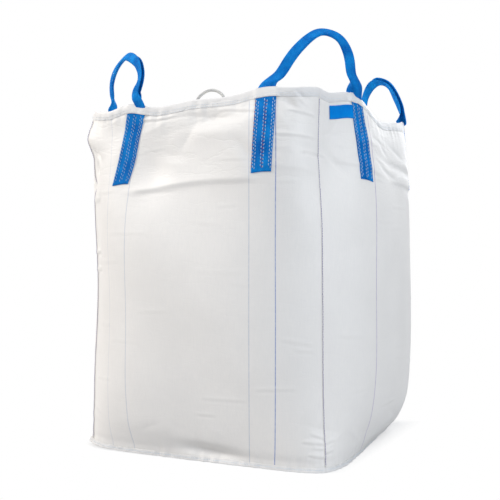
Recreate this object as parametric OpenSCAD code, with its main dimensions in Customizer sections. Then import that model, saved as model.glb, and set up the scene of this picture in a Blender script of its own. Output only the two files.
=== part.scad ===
// Bulk bag of woven cloth, standing full. Four side panels are sewn to a base and a top panel,
// a filling spout is tied shut on the top, and a webbing loop spans each corner of the rim.
// The origin is the middle of the base on the floor, +Z is up and the front panel faces -Y.

/* [Bag] */
// Cut width of a side panel, which is the nominal width of the square bag
bag_w = 900; // [760:10:1100]
// Height from the floor to the rim at a corner
bag_h = 1200; // [900:10:1500]
// Thickness of the coated cloth
cloth_t = 1; // [0.6:0.1:1.6]

/* [Filled shape] */
// Squareness of the section at the base, from 2 for a circle to 12 for nearly a square
base_square = 9; // [6:0.5:12]
// Squareness of the section at mid height, where the fill rounds it
mid_square = 2.8; // [2.2:0.1:5]
// Squareness of the section at the rim
rim_square = 8; // [5:0.5:12]
// Height over which the squareness of the base fades
base_fade = 120; // [60:5:200]
// Depth over which the squareness of the rim fades
rim_fade = 130; // [60:5:200]
// How far a loop leg pulls the rim up
leg_pull = 15; // [0:1:25]
// How far the rim sags at the middle of a side
rim_sag = 12; // [0:1:25]
// How far the middle of the top panel lies below the rim
top_sag = 85; // [60:5:140]

/* [Seams] */
// Height of the hem band that covers the upper ends of the loop legs
hem_h = 30; // [25:1:60]
// Height of the seam flange around the base
flange_h = 20; // [10:1:30]
// How far the flange stands out at the floor
flange_out = 10; // [4:1:16]
// Thickness of the folded cloth of the flange
flange_t = 1.5; // [1:0.1:2.5]
// Width of the sewn bead down each corner
bead_w = 5; // [3:0.5:8]
// Height of the bead over the cloth
bead_t = 1.6; // [1:0.2:3]
// Slack of the hem band over the webbing
hem_slack = 0.6; // [0.5:0.1:1]
// Gap between layers that are sewn together
layer_gap = 0.4; // [0.3:0.1:0.6]

/* [Lifting loops] */
// Width of the webbing
web_w = 70; // [50:5:90]
// Thickness of the webbing
web_t = 2; // [1.5:0.1:2.6]
// Width of the webbing where it is folded in half
fold_w = 36; // [28:1:44]
// Distance from a corner seam to the middle of a leg
leg_in = 208; // [170:1:260]
// Length of a leg on the panel, measured from the rim
leg_len = 285; // [200:5:350]
// Height of the flex line of the loops above the rim
flex_rise = 75; // [70:1:100]

/* [Filling spout] */
// Radius of the spout where it is sewn to the top panel
spout_r = 190; // [170:5:210]
// Radius of the gathered neck
neck_r = 26; // [20:1:30]
// Height of the neck's foot above the top panel
neck_rise = 62; // [56:1:80]
// Height of the neck, which the tie cord wraps
neck_h = 30; // [28:1:40]
// Thickness of the gathered cloth
gather_t = 3; // [2:0.5:5]
// Width of the sewn margin of the spout on the top panel
spout_margin = 12; // [8:1:20]

/* [Tie cord] */
// Diameter of the tie cord
cord_d = 10; // [8:1:12]
// Turns of the cord around the neck
cord_turns = 2; // [1:1:2]
// Radius of the knot at the free end
knot_r = 14; // [12:1:16]

/* [Blank tag] */
// Length of the tag along the panel
tag_w = 140; // [80:5:145]
// Height of the tag
tag_h = 44; // [30:1:60]
// Distance from the rim down to the tag
tag_drop = 40; // [34:1:70]
// Thickness of the tag
tag_t = 0.8; // [0.5:0.1:1.2]

/* [Hidden] */
SIDES = ["front", "right", "back", "left"];
$fn = 64;

cloth_color = [0.92, 0.91, 0.89];
hem_color = [0.95, 0.95, 0.94];
web_color = [0.10, 0.40, 0.75];
cord_color = [0.80, 0.80, 0.78];
thread_color = [0.45, 0.40, 0.70];

// Grid of a side panel. Its rows crowd towards base and rim, and its columns towards the corners.
cols = 16;
rows = 16;
row_crowding = 0.11;
col_crowding = 0.08;
function crowded(share, crowding) = share - crowding * sin(360 * share);
function row_v(i) = crowded(i / rows, row_crowding);
function col_angle(j) = -45 + 90 * crowded(j / cols, col_crowding);

// ---- Section: a superellipse whose girth is always that of the cut cloth ----
// Angles are measured on the front side, from the middle of the side to a corner at 45
function total(list) = list * [for (x = list) 1];
function unit_r(angle, square) = pow(pow(cos(angle), square) + pow(abs(sin(angle)), square), -1 / square);
function unit_point(angle, square) = unit_r(angle, square) * [sin(angle), cos(angle)];
girth_steps = 24;
function half_side_length(square) = total([for (i = [0:girth_steps - 1])
  norm(unit_point(45 * (i + 1) / girth_steps, square) - unit_point(45 * i / girth_steps, square))]);
function squareness(v) = mid_square
  + (base_square - mid_square) * exp(-v * bag_h / base_fade)
  + (rim_square - mid_square) * exp(-(1 - v) * bag_h / rim_fade);
function half_w(v) = bag_w / 2 / half_side_length(squareness(v));

// ---- Rim: up at the legs, down at the middle of each side ----
leg_s = bag_w / 2 - leg_in;
leg_angle = atan(leg_s / half_w(1));
pull_angle = 7;
function rim_z(angle) = bag_h - rim_sag * pow(cos(2 * angle), 2)
  + leg_pull * exp(-pow((abs(angle) - leg_angle) / pull_angle, 2));

// Point of the cloth on the front side: v is the height from 0 at the floor to 1 at the rim,
// and out is the distance off the cloth's outer face
function skin(angle, v, out = 0) =
  let (r = (half_w(v) + out) * unit_r(angle, squareness(v)))
  [r * sin(angle), -r * cos(angle), v * rim_z(angle)];
function drop_v(drop) = 1 - drop / bag_h;

// ---- A sheet between two grids of points ----
function quad(low, high) = [[low[0], high[0], high[1]], [low[0], high[1], low[1]]];
function reversed(faces) = [for (face = faces) [face[0], face[2], face[1]]];
module sheet(front, back, closed = false) {
  row_count = len(front);
  col_count = len(front[0]);
  last_row = row_count - 1;
  last_col = col_count - 1;
  spans = closed ? last_col : last_col - 1;
  function on_front(i, j) = i * col_count + j % col_count;
  function on_back(i, j) = row_count * col_count + on_front(i, j);
  faces = concat(
    [for (i = [0:last_row - 1]) for (j = [0:spans]) each concat(
      quad([on_front(i, j), on_front(i, j + 1)], [on_front(i + 1, j), on_front(i + 1, j + 1)]),
      reversed(quad([on_back(i, j), on_back(i, j + 1)], [on_back(i + 1, j), on_back(i + 1, j + 1)])))],
    [for (j = [0:spans]) each concat(
      quad([on_back(0, j), on_back(0, j + 1)], [on_front(0, j), on_front(0, j + 1)]),
      quad([on_front(last_row, j), on_front(last_row, j + 1)],
           [on_back(last_row, j), on_back(last_row, j + 1)]))],
    closed ? [] : [for (i = [0:last_row - 1]) each concat(
      quad([on_back(i, 0), on_front(i, 0)], [on_back(i + 1, 0), on_front(i + 1, 0)]),
      quad([on_front(i, last_col), on_back(i, last_col)],
           [on_front(i + 1, last_col), on_back(i + 1, last_col)]))]
  );
  polyhedron(points = concat([for (row = front) each row], [for (row = back) each row]),
             faces = faces, convexity = 6);
}
// A layer of cloth that follows the front side, between two distances off its outer face
module layer(angles, vs, inner, outer) {
  sheet([for (v = vs) [for (angle = angles) skin(angle, v, outer)]],
        [for (v = vs) [for (angle = angles) skin(angle, v, inner)]]);
}
module on_side(side) rotate([0, 0, 90 * side]) children();
function turned(p, side) = let (a = 90 * side)
  [p[0] * cos(a) - p[1] * sin(a), p[0] * sin(a) + p[1] * cos(a)];
side_angles = [for (j = [0:cols]) col_angle(j)];

// ---- Cloth ----
module side_panel(side) {
  color(cloth_color) on_side(side)
    layer(side_angles, [for (i = [0:rows]) row_v(i)], -cloth_t, 0);
}

module base_panel() {
  color(cloth_color) linear_extrude(cloth_t)
    polygon([for (side = [0:3]) for (j = [0:cols - 1])
      turned(skin(col_angle(j), 0, -cloth_t - layer_gap), side)]);
}

module base_seam(side) {
  top_v = flange_h / bag_h;
  function edge(v, out) = [for (angle = side_angles) skin(angle, v, out)];
  color(cloth_color) on_side(side)
    sheet([edge(0, flange_out + flange_t), edge(top_v, layer_gap + flange_t)],
          [edge(0, flange_out), edge(top_v, layer_gap)]);
}

// The hem's columns stand over those of the legs, so that its facets run level with theirs
leg_cols = 4;
function even_steps(from, to, count) = [for (i = [0:count - 1]) from + (to - from) * i / count];
leg_near = atan((leg_s - web_w / 2) / half_w(1));
leg_far = atan((leg_s + web_w / 2) / half_w(1));
hem_angles = concat(
  even_steps(-45, -leg_far, 4), even_steps(-leg_far, -leg_near, leg_cols),
  even_steps(-leg_near, leg_near, 6),
  even_steps(leg_near, leg_far, leg_cols), even_steps(leg_far, 45, 4), [45]
);
module hem(side) {
  hem_out = 2 * layer_gap + web_t + hem_slack;
  color(hem_color) on_side(side)
    layer(hem_angles, [for (i = [0:2]) drop_v(hem_h * (1 - i / 2))], hem_out, hem_out + cloth_t);
}

// Point near a corner, in a frame whose -Y axis runs out through that corner
function corner_point(angle, v, out) =
  let (r = (half_w(v) + out) * unit_r(45 - abs(angle), squareness(v)))
  [r * sin(angle), -r * cos(angle), v * rim_z(45 - abs(angle))];
module corner_seam(side) {
  edge_gap = 4;
  low = (flange_h + edge_gap) / bag_h;
  high = drop_v(hem_h + edge_gap);
  edge_angle = atan(bead_w / 2 / norm(skin(45, 1)));
  function grid(out) = [for (i = [0:rows]) [for (angle = [-edge_angle, 0, edge_angle])
    corner_point(angle, low + (high - low) * i / rows, out)]];
  color(thread_color) on_side(side) rotate([0, 0, 45])
    sheet(grid(layer_gap + bead_t), grid(layer_gap));
}

// ---- Top panel, hanging from the rim to the round foot of the spout ----
top_rows = 6;
edge_drop = 14;
seat_z = bag_h - top_sag;
function top_point(side, angle, share) =
  let (edge = skin(angle, drop_v(edge_drop), -cloth_t - 2 * layer_gap),
       foot = [spout_r * sin(angle), -spout_r * cos(angle), seat_z],
       xy = turned(edge * (1 - share) + foot * share, side))
  [xy[0], xy[1], foot[2] + (edge[2] - foot[2]) * pow(1 - share, 2)];
module top_panel() {
  function grid(drop) = [for (i = [0:top_rows]) [for (side = [0:3]) for (j = [0:cols - 1])
    top_point(side, col_angle(j), i / top_rows) - [0, 0, drop]]];
  color(cloth_color) sheet(grid(0), grid(cloth_t), closed = true);
}

// ---- A line of points moved sideways by d, to its right when d is positive ----
function unit(v) = v / norm(v);
function beside(line, d) = let (last = len(line) - 1)
  [for (i = [0:last]) let (t = unit(line[min(i + 1, last)] - line[max(i - 1, 0)]))
    line[i] + d * [t[1], -t[0]]];
function backwards(line) = [for (i = [len(line) - 1:-1:0]) line[i]];

// ---- Filling spout: gathered cone, neck and the end that flops back over ----
spout_seat = seat_z + layer_gap + 0.2;
neck_top = neck_rise + neck_h;
cone_line = [[spout_r + spout_margin, 0], [spout_r, 1], [125, 14], [75, 38], [neck_r + 9, neck_rise - 8]];
flop_line = [[neck_r, neck_top], [neck_r + 10, neck_top + 11], [neck_r + 42, neck_top + 20],
             [neck_r + 72, neck_top + 16], [neck_r + 96, neck_top - 1]];
module filling_spout() {
  color(cloth_color) translate([0, 0, spout_seat]) rotate_extrude()
    polygon(concat(cone_line, [[0, neck_rise - 4], [0, neck_top + 12]],
                   beside(flop_line, -gather_t), backwards(flop_line), [[neck_r, neck_rise]],
                   backwards(beside(cone_line, gather_t))));
}

// ---- Tie cord ----
wrap_r = neck_r + layer_gap + cord_d / 2;
wrap_z = neck_rise + 4;
module tie_wraps() {
  color(cord_color) translate([0, 0, spout_seat + wrap_z]) rotate_extrude()
    translate([wrap_r, cord_d / 2]) {
      circle(d = cord_d, $fn = 32);
      translate([-cord_d / 2, 0]) square([cord_d, (cord_turns - 1) * cord_d]);
      translate([0, (cord_turns - 1) * cord_d]) circle(d = cord_d, $fn = 32);
    }
}

// Route of the free stretch, from the wraps to the knot; heights are above the spout's seat
cord_route = [
  [-43, 0, 74], [-46, -40, 68], [-58, -80, 54], [-72, -125, 28], [-92, -170, 13],
  [-114, -212, 10], [-130, -255, 13], [-130, -292, 20], [-114, -320, 30], [-92, -332, 50],
  [-76, -334, 78], [-56, -332, 103], [-20, -330, 116], [16, -330, 104], [36, -330, 78],
  [50, -328, 50], [72, -318, 28], [104, -298, 18], [134, -270, 14], [152, -235, 10], [158, -204, 10]
];
cord_sides = 10;
ring_steps = 2;
// A point at u on the smooth curve through the route, which passes through every listed point
function route_at(u) =
  let (last = len(cord_route) - 1, i = min(floor(u), last - 1), t = u - i,
       p0 = cord_route[max(i - 1, 0)], p1 = cord_route[i], p2 = cord_route[i + 1],
       p3 = cord_route[min(i + 2, last)])
  0.5 * (2 * p1 + (p2 - p0) * t + (2 * p0 - 5 * p1 + 4 * p2 - p3) * t * t
         + (3 * p1 - p0 - 3 * p2 + p3) * t * t * t);
module tie_cord() {
  count = (len(cord_route) - 1) * ring_steps + 1;
  mids = [for (i = [0:count - 1]) route_at(i / ring_steps)];
  dirs = [for (i = [0:count - 1]) unit(mids[min(i + 1, count - 1)] - mids[max(i - 1, 0)])];
  sides = [for (i = 0, n = unit(cross(dirs[0], [0, 0, 1])); i < count;
    i = i + 1, n = unit(n - (n * dirs[min(i, count - 1)]) * dirs[min(i, count - 1)])) n];
  points = [for (i = [0:count - 1]) for (j = [0:cord_sides - 1])
    let (a = 360 * j / cord_sides)
    mids[i] + cord_d / 2 * (cos(a) * sides[i] + sin(a) * cross(dirs[i], sides[i]))];
  faces = concat(
    [[for (j = [0:cord_sides - 1]) j]],
    [for (i = [0:count - 2]) for (j = [0:cord_sides - 1])
      let (a = i * cord_sides + j, b = i * cord_sides + (j + 1) % cord_sides)
      each quad([a, b], [a + cord_sides, b + cord_sides])],
    [[for (j = [cord_sides - 1:-1:0]) (count - 1) * cord_sides + j]]
  );
  color(cord_color) translate([0, 0, spout_seat]) polyhedron(points = points, faces = faces);
}

module tie_knot() {
  tip = cord_route[len(cord_route) - 1];
  color(cord_color) translate([0, 0, spout_seat])
    translate([tip[0] + 1, tip[1] + knot_r + layer_gap, knot_r + layer_gap + 1])
      sphere(r = knot_r, $fn = 32);
}

module blank_tag() {
  right_s = -(leg_s + web_w / 2 + layer_gap);
  steps = 12;
  angles = [for (i = [0:steps])
    atan((right_s - tag_w * (1 - i / steps)) / half_w(drop_v(tag_drop)))];
  color(web_color) on_side(1)
    layer(angles, [for (i = [0:2]) drop_v(tag_drop + tag_h * (1 - i / 2))], layer_gap, layer_gap + tag_t);
}

// ---- Lifting loops. Loop k spans the corner between side k and the next one; its frame is
// that of side k, with leg a on this side and leg b on the next. The webbing is folded in half
// above the rim, and a loop flexes about the line through the two points where its legs end.
fold_t = 2 * web_t;
lap_gap = 0.3;
// The round ends of the folded webbing stand this much past its edges and inside its faces
disc_margin = 0.5;
disc_inset = 0.4;
band_w = fold_w - 2 * disc_margin;
flex_z = bag_h + flex_rise;
chord = [1, 1] / sqrt(2);
outward = [1, -1] / sqrt(2);
// How far each leg leans towards the other leg, and outward from the chord, at the flex line
leg_shift = [[50, 20], [12, 30], [15, 15], [5, 5]];
leg_swing = [[0, 0], [0, 0], [0, 0], [18, -34]];
// How far the lower end of each leg is sewn nearer to the corner than its upper end
leg_tilt = [[0, 0], [0, 0], [0, 0], [0, 55]];
// Rise of each arch over the flex line, its skew, its slack on the side of leg a, and its lean
arch_rise = [128, 96, 118, 114];
arch_skew = [8, 0, 0, 0];
arch_slack = [46, 16, 10, 0];
arch_lean = [0, 0, 68, 0];

foot = skin(leg_angle, 1, layer_gap + web_t / 2);
function flat(p) = [p[0], p[1]];
function mirrored(p) = [-p[0], p[1]];
flex_line_a = flat(foot);
flex_line_b = turned(mirrored(foot), 1);
function flex_a(k) = flex_line_a + chord * leg_shift[k][0] + outward * leg_swing[k][0];
function flex_b(k) = flex_line_b - chord * leg_shift[k][1] + outward * leg_swing[k][1];
function flex_dir(k) = unit(flex_b(k) - flex_a(k));

module disc(towards, r, thickness)
  rotate([0, 0, atan2(towards[1], towards[0])]) rotate([0, 90, 0])
    cylinder(r = r, h = thickness, center = true);

// One leg: webbing sewn flat on the panel, then twisting and folding up to the flex line. It is
// worked out for a leg on the right of its side, and hand = -1 mirrors its points to the left.
module leg(hand, flex, towards, tilt) {
  sewn_rows = 10;
  free_rows = 5;
  across = [for (j = [0:leg_cols]) 2 * j / leg_cols - 1];
  top = flex - towards * (lap_gap + fold_t) / 2;
  turn = atan2(-towards[0], towards[1]);
  free_z = foot[2] + 1;
  folded_z = flex_z - fold_w / 2 - 2;
  function sewn(i, face) = let (drop = leg_len * (1 - i / sewn_rows), v = drop_v(drop))
    [for (x = across) skin(atan((leg_s + tilt * drop / leg_len + x * web_w / 2) / half_w(v)), v,
                           layer_gap + (1 + face) * web_t / 2)];
  function free(t, z, face) =
    let (a = turn * t, w = web_w + (band_w - web_w) * t, thick = web_t + (fold_t - web_t) * t,
         mid = flat(foot) * (1 - t) + top * t + face * thick / 2 * [sin(a), -cos(a)])
    [for (x = across) [mid[0] + x * w / 2 * cos(a), mid[1] + x * w / 2 * sin(a), z]];
  function grid(face) = [for (row = concat(
      [for (i = [0:sewn_rows]) sewn(i, face)],
      [for (i = [1:free_rows]) free(i / free_rows, free_z + (folded_z - free_z) * i / free_rows, face)],
      [free(1, flex_z, face)]))
    [for (p = row) [hand * p[0], p[1], p[2]]]];
  color(web_color) {
    sheet(grid(hand), grid(-hand));
    translate([hand * top[0], top[1], flex_z])
      disc([hand * towards[0], towards[1]], fold_w / 2, fold_t - disc_inset);
  }
}
module leg_a(k) on_side(k) leg(1, flex_a(k), flex_dir(k), leg_tilt[k][0]);
module leg_b(k) on_side(k + 1)
  leg(-1, mirrored(turned(flex_b(k), -1)), mirrored(turned(-flex_dir(k), -1)), leg_tilt[k][1]);

module arch(k) {
  steps = 28;
  half = (norm(flex_b(k) - flex_a(k)) - lap_gap - fold_t) / 2;
  straight = fold_w / 2 + 2;
  rise = arch_rise[k] - straight;
  line = concat([[-half, 0]],
    [for (i = [0:steps]) let (a = 180 * i / steps)
      [-half * cos(a) + arch_skew[k] * sin(a) + arch_slack[k] * sin(a) * (1 + cos(a)) / 2,
       straight + rise * sin(a)]],
    [[half, 0]]);
  mid = (flex_a(k) + flex_b(k)) / 2;
  dir = flex_dir(k);
  color(web_color) on_side(k) translate([mid[0], mid[1], flex_z])
    rotate([0, 0, atan2(dir[1], dir[0])]) rotate([arch_lean[k], 0, 0]) {
      rotate([90, 0, 0]) linear_extrude(band_w, center = true)
        polygon(concat(beside(line, -fold_t / 2), backwards(beside(line, fold_t / 2))));
      for (x = [-half, half]) translate([x, 0, 0]) disc([1, 0], fold_w / 2, fold_t - disc_inset);
    }
}

base_panel();
for (k = [0:3]) {
  side_panel(k);
  base_seam(k);
  hem(k);
  corner_seam(k);
  leg_a(k);
  leg_b(k);
  arch(k);
}
top_panel();
filling_spout();
tie_wraps();
tie_cord();
tie_knot();
blank_tag();
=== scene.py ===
import math

import bpy
import numpy as np
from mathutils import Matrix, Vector


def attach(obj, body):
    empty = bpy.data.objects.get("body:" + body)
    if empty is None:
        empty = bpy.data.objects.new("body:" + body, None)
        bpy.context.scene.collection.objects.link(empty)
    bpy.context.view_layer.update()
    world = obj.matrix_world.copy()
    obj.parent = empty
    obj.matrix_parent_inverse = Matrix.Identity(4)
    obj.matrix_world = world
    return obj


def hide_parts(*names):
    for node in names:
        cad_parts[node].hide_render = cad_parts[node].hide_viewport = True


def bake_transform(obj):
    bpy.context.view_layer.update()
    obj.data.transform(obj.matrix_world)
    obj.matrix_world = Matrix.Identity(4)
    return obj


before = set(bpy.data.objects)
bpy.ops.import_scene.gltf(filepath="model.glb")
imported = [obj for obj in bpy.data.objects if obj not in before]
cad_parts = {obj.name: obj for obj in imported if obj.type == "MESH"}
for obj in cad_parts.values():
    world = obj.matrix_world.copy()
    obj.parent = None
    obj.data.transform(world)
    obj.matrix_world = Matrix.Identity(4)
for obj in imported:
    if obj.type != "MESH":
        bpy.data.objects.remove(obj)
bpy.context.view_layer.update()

rng = np.random.default_rng(7)

# ---------------------------------------------------------------- sizes in metres, as in the CAD
SIDES = ("front", "right", "back", "left")
BAG_W, BAG_H, CLOTH_T = 0.9, 1.2, 0.001
BASE_SQUARE, MID_SQUARE, RIM_SQUARE = 9.0, 2.8, 8.0
BASE_FADE, RIM_FADE = 0.12, 0.13
LEG_PULL, RIM_SAG, TOP_SAG = 0.015, 0.012, 0.085
HEM_H, BEAD_W, BEAD_T, LAYER_GAP, HEM_SLACK = 0.030, 0.005, 0.0016, 0.0004, 0.0006
WEB_W, WEB_T, LEG_IN, LEG_LEN, FLEX_RISE = 0.070, 0.002, 0.208, 0.285, 0.075
SPOUT_R, NECK_R, NECK_RISE, NECK_H, SPOUT_MARGIN = 0.190, 0.026, 0.062, 0.030, 0.012
CORD_D, CORD_TURNS, KNOT_R = 0.010, 2, 0.014
TAG_W, TAG_H, TAG_DROP, TAG_T = 0.140, 0.044, 0.040, 0.0008
LEG_S = BAG_W / 2 - LEG_IN
SPOUT_SEAT = BAG_H - TOP_SAG + LAYER_GAP + 0.0002
NECK_TOP = NECK_RISE + NECK_H
FLEX_Z = BAG_H + FLEX_RISE
# The base seam's flange is lower and thinner than the CAD's, which is 20 mm high and 10 mm wide.
FLANGE_H, FLANGE_OUT, FLANGE_T = 0.014, 0.0045, 0.0012
UP = np.array([0, 0, 1.0])

# ---------------------------------------------------------------- camera
VIEW_TURN = math.radians(25.8)
CAMERA_DISTANCE, CAMERA_HEIGHT, CAMERA_LEFT = 3.26, 0.67, 0.028
SENSOR_MM, LENS_MM, SHIFT_UP = 36, 62.6, 0.009


def make_camera():
    back = Vector((math.sin(VIEW_TURN), -math.cos(VIEW_TURN), 0))
    right = Vector((math.cos(VIEW_TURN), math.sin(VIEW_TURN), 0))
    camera = bpy.data.objects.new("camera", bpy.data.cameras.new("camera"))
    bpy.context.scene.collection.objects.link(camera)
    place = back * CAMERA_DISTANCE - right * CAMERA_LEFT
    camera.location = (place.x, place.y, CAMERA_HEIGHT)
    camera.rotation_euler = (math.pi / 2, 0, VIEW_TURN)
    camera.data.sensor_width = SENSOR_MM
    camera.data.lens = LENS_MM
    camera.data.shift_y = SHIFT_UP
    bpy.context.scene.camera = camera


make_camera()


# ---------------------------------------------------------------- small helpers
def smooth(t):
    t = np.clip(t, 0, 1)
    return t * t * (3 - 2 * t)


def hill(x, width):
    return np.exp(-((x / width) ** 2))


def unit(v):
    v = np.asarray(v, float)
    return v / np.maximum(np.linalg.norm(v, axis=-1, keepdims=True), 1e-12)


def turned(points, side):
    """Points made on the front side, turned to another side."""
    a = math.pi / 2 * side
    x, y, z = np.moveaxis(np.asarray(points, float), -1, 0)
    return np.stack([x * math.cos(a) - y * math.sin(a), x * math.sin(a) + y * math.cos(a), z], -1)


def ring_point(radius, angle, z):
    """Points round the bag's axis; the angle starts at the middle of the front side."""
    return np.stack(np.broadcast_arrays(radius * np.sin(angle), -radius * np.cos(angle), z), -1)


def distances(line):
    """How far along a line of points each of them is."""
    return np.concatenate([[0], np.cumsum(np.linalg.norm(np.diff(line, axis=0), axis=1))])


def spline(points, steps):
    """Even steps along a smooth line through points."""
    line = np.array(points, float)
    u = np.linspace(0, len(line) - 1, steps)
    i = np.clip(u.astype(int), 0, len(line) - 2)
    t = (u - i)[:, None]
    p0, p1 = line[np.maximum(i - 1, 0)], line[i]
    p2, p3 = line[i + 1], line[np.minimum(i + 2, len(line) - 1)]
    return 0.5 * (2 * p1 + (p2 - p0) * t + (2 * p0 - 5 * p1 + 4 * p2 - p3) * t ** 2
                  + (3 * p1 - p0 - 3 * p2 + p3) * t ** 3)


# ---------------------------------------------------------------- materials
def linear(r, g, b):
    """A colour picked as 8-bit sRGB, as the linear numbers that a shader socket takes."""
    shares = [c / 255 for c in (r, g, b)]
    return [c / 12.92 if c <= 0.04045 else ((c + 0.055) / 1.055) ** 2.4 for c in shares] + [1]


class Nodes:
    """A node tree that is built by short calls."""

    def __init__(self, name):
        self.material = bpy.data.materials.new(name)
        self.material.use_nodes = True
        self.tree = self.material.node_tree
        self.shader = self.tree.nodes["Principled BSDF"]

    def add(self, kind, inputs=(), out=0, **settings):
        node = self.tree.nodes.new("ShaderNode" + kind)
        for key, value in settings.items():
            setattr(node, key, value)
        for key, value in dict(inputs).items():
            self.set(node.inputs[key], value)
        return node.outputs[out]

    def set(self, socket, value):
        if isinstance(value, bpy.types.NodeSocket):
            self.tree.links.new(value, socket)
        else:
            socket.default_value = value

    def math(self, operation, *values):
        return self.add("Math", dict(enumerate(values)), operation=operation)

    def times(self, a, b):
        return self.math("MULTIPLY", a, b)

    def plus(self, a, b):
        return self.math("ADD", a, b)

    def wave(self, x, pitch):
        """A sine along x, from -1 to 1, that repeats every pitch."""
        return self.math("SINE", self.times(x, 2 * math.pi / pitch))

    def between(self, x, low, high, to_low=0.0, to_high=1.0):
        return self.add("MapRange", {0: x, 1: low, 2: high, 3: to_low, 4: to_high})

    def mix(self, share, a, b, blend="MIX"):
        node = self.tree.nodes.new("ShaderNodeMix")
        node.data_type, node.blend_type = "RGBA", blend
        for key, value in ((0, share), (6, a), (7, b)):
            self.set(node.inputs[key], value)
        return node.outputs[2]

    def noise(self, vector, scale, detail=3.0, rough=0.5):
        return self.add("TexNoise", {"Vector": vector, "Scale": scale, "Detail": detail, "Roughness": rough})

    def uv(self):
        """The cloth's own coordinates in metres, as two numbers."""
        return self.split(self.add("UVMap", uv_map="cloth"))[:2]

    def split(self, vector):
        node = self.tree.nodes.new("ShaderNodeSeparateXYZ")
        self.set(node.inputs[0], vector)
        return list(node.outputs)

    def place(self, x=1.0, y=1.0, z=1.0):
        """The place in the frame, stretched."""
        return self.add("Mapping", {"Vector": self.add("TexCoord", out=3), "Scale": (x, y, z)})

    def bump(self, height, strength, distance, after=None):
        inputs = {"Height": height, "Strength": strength, "Distance": distance}
        if after is not None:
            inputs["Normal"] = after
        return self.add("Bump", inputs)

    def finish(self, color, normal=None, **constants):
        self.set(self.shader.inputs["Base Color"], color)
        if normal is not None:
            self.set(self.shader.inputs["Normal"], normal)
        for key, value in constants.items():
            self.set(self.shader.inputs[key.replace("_", " ")], value)
        return self.material


def band(n, x, at, width):
    """1 on a line across x at one place, 0 off it, with soft edges."""
    off = n.math("ABSOLUTE", n.math("SUBTRACT", x, at))
    return n.between(off, width * 0.35, width * 0.65, 1.0, 0.0)


def weave_height(n, u, v, pitch):
    """Flat tapes over and under each other in plain weave."""
    across, along = n.wave(u, 2 * pitch), n.wave(v, 2 * pitch)
    crowns = n.times(across, along)
    gaps = n.plus(n.math("ABSOLUTE", across), n.math("ABSOLUTE", along))
    return n.plus(n.times(crowns, 0.5), n.times(gaps, 0.35))


TAPE = 0.0026  # width of one woven tape
SLACK_LOW, SLACK_HIGH = 0.84, 1.02  # heights between which the taut cloth gives way to slack cloth


def darker(color, *drops):
    """A colour with each of its three 8-bit numbers lowered."""
    return linear(*[c - drop for c, drop in zip(color, drops)])


def cloth_material(name, color, lines=(), tape=TAPE, crinkle=1.0):
    """Coated white weave. lines are (place across, width, strength, colour) of coloured marker tapes."""
    n = Nodes(name)
    u, v = n.uv()
    weave = weave_height(n, u, v, tape)
    blotch = n.noise(n.place(), 5.0, 4.0)
    streak = n.noise(n.place(1, 1, 0.12), 260.0, 2.0)
    shade = n.mix(n.between(blotch, 0.35, 0.65), darker(color, 5, 5, 5), linear(*color))
    shade = n.mix(n.between(streak, 0.3, 0.7, 0.0, 0.30), shade, darker(color, 12, 11, 9))
    # Painted shade: the low gaps between the woven tapes are drawn greyer, as shade falls in them.
    shade = n.mix(n.between(weave, -0.5, 0.6, 0.14, 0.0), shade, linear(196, 196, 196))
    for at, width, strength, tint in lines:
        broken = n.between(n.noise(n.place(), 90.0, 2.0), 0.25, 0.6, 0.65, 1.0)
        line = n.times(band(n, u, at, width), n.times(broken, strength))
        shade = n.mix(line, shade, linear(*tint))
    creases = n.noise(n.place(3.0, 3.0, 9.0), 2.2, 4.0, 0.55)
    folds = n.between(n.math("ABSOLUTE", n.math("SUBTRACT", creases, 0.5)), 0.0, 0.05)
    height = n.split(n.add("TexCoord", out=3))[2]
    slack = n.between(height, SLACK_LOW, SLACK_HIGH, 0.30, 1.0)
    folds = n.times(folds, slack)
    crumple = n.times(n.noise(n.place(), 34.0, 4.0, 0.6), slack)
    normal = n.bump(folds, 0.22 * crinkle, 0.0016)
    normal = n.bump(crumple, 0.32 * crinkle, 0.0018, normal)
    normal = n.bump(weave, 0.30, 0.0004, normal)
    rough = n.between(n.noise(n.place(), 14.0, 3.0), 0.3, 0.7, 0.42, 0.56)
    return n.finish(shade, normal, Roughness=rough, Specular_IOR_Level=0.42, Sheen_Weight=0.06)


WEB_RIB, WEB_CORD, RIB_ZIGZAG = 0.0021, 0.0019, 0.014  # pitches of the weave across and along the webbing


def webbing_material():
    n = Nodes("blue_webbing")
    u, v = n.uv()
    zigzag = n.times(n.math("ABSOLUTE", n.wave(u, RIB_ZIGZAG)), 0.0012)
    ribs = n.wave(n.plus(v, zigzag), WEB_RIB)
    cords = n.wave(u, WEB_CORD)
    weave = n.plus(n.times(ribs, cords), n.times(ribs, 0.6))
    patch = n.noise(n.place(), 22.0, 3.0)
    color = n.mix(n.between(patch, 0.3, 0.7), linear(0, 100, 188), linear(14, 142, 226))
    fleck = n.between(n.noise(n.place(), 420.0, 2.0), 0.54, 0.70, 0.0, 0.65)
    color = n.mix(n.times(n.between(weave, -0.2, 1.2), fleck), color, linear(96, 184, 236))
    # Painted shade: the low grooves between ribs and cords are drawn darker blue, as shade falls in them.
    color = n.mix(n.between(weave, -1.6, -0.4, 0.55, 0.0), color, linear(0, 46, 122))
    fuzz = n.noise(n.place(), 700.0, 2.0)
    normal = n.bump(weave, 0.55, 0.0007)
    normal = n.bump(fuzz, 0.15, 0.0004, normal)
    return n.finish(color, normal, Roughness=0.65, Specular_IOR_Level=0.05)


THREAD_TWIST = 0.0016


def thread_material(name, color):
    n = Nodes(name)
    lay = n.wave(n.plus(*n.uv()), THREAD_TWIST)
    shade = n.mix(n.between(lay, -1, 1, 0.0, 0.5), linear(*color), linear(*[c * 0.72 for c in color]))
    soft = n.noise(n.place(), 900.0, 2.0)
    normal = n.bump(lay, 0.4, 0.0003)
    normal = n.bump(soft, 0.2, 0.0002, normal)
    return n.finish(shade, normal, Roughness=0.6, Specular_IOR_Level=0.3, Sheen_Weight=0.15)


TAG_TAPE = 0.0016  # width of one tape of the tag's finer weave


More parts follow.
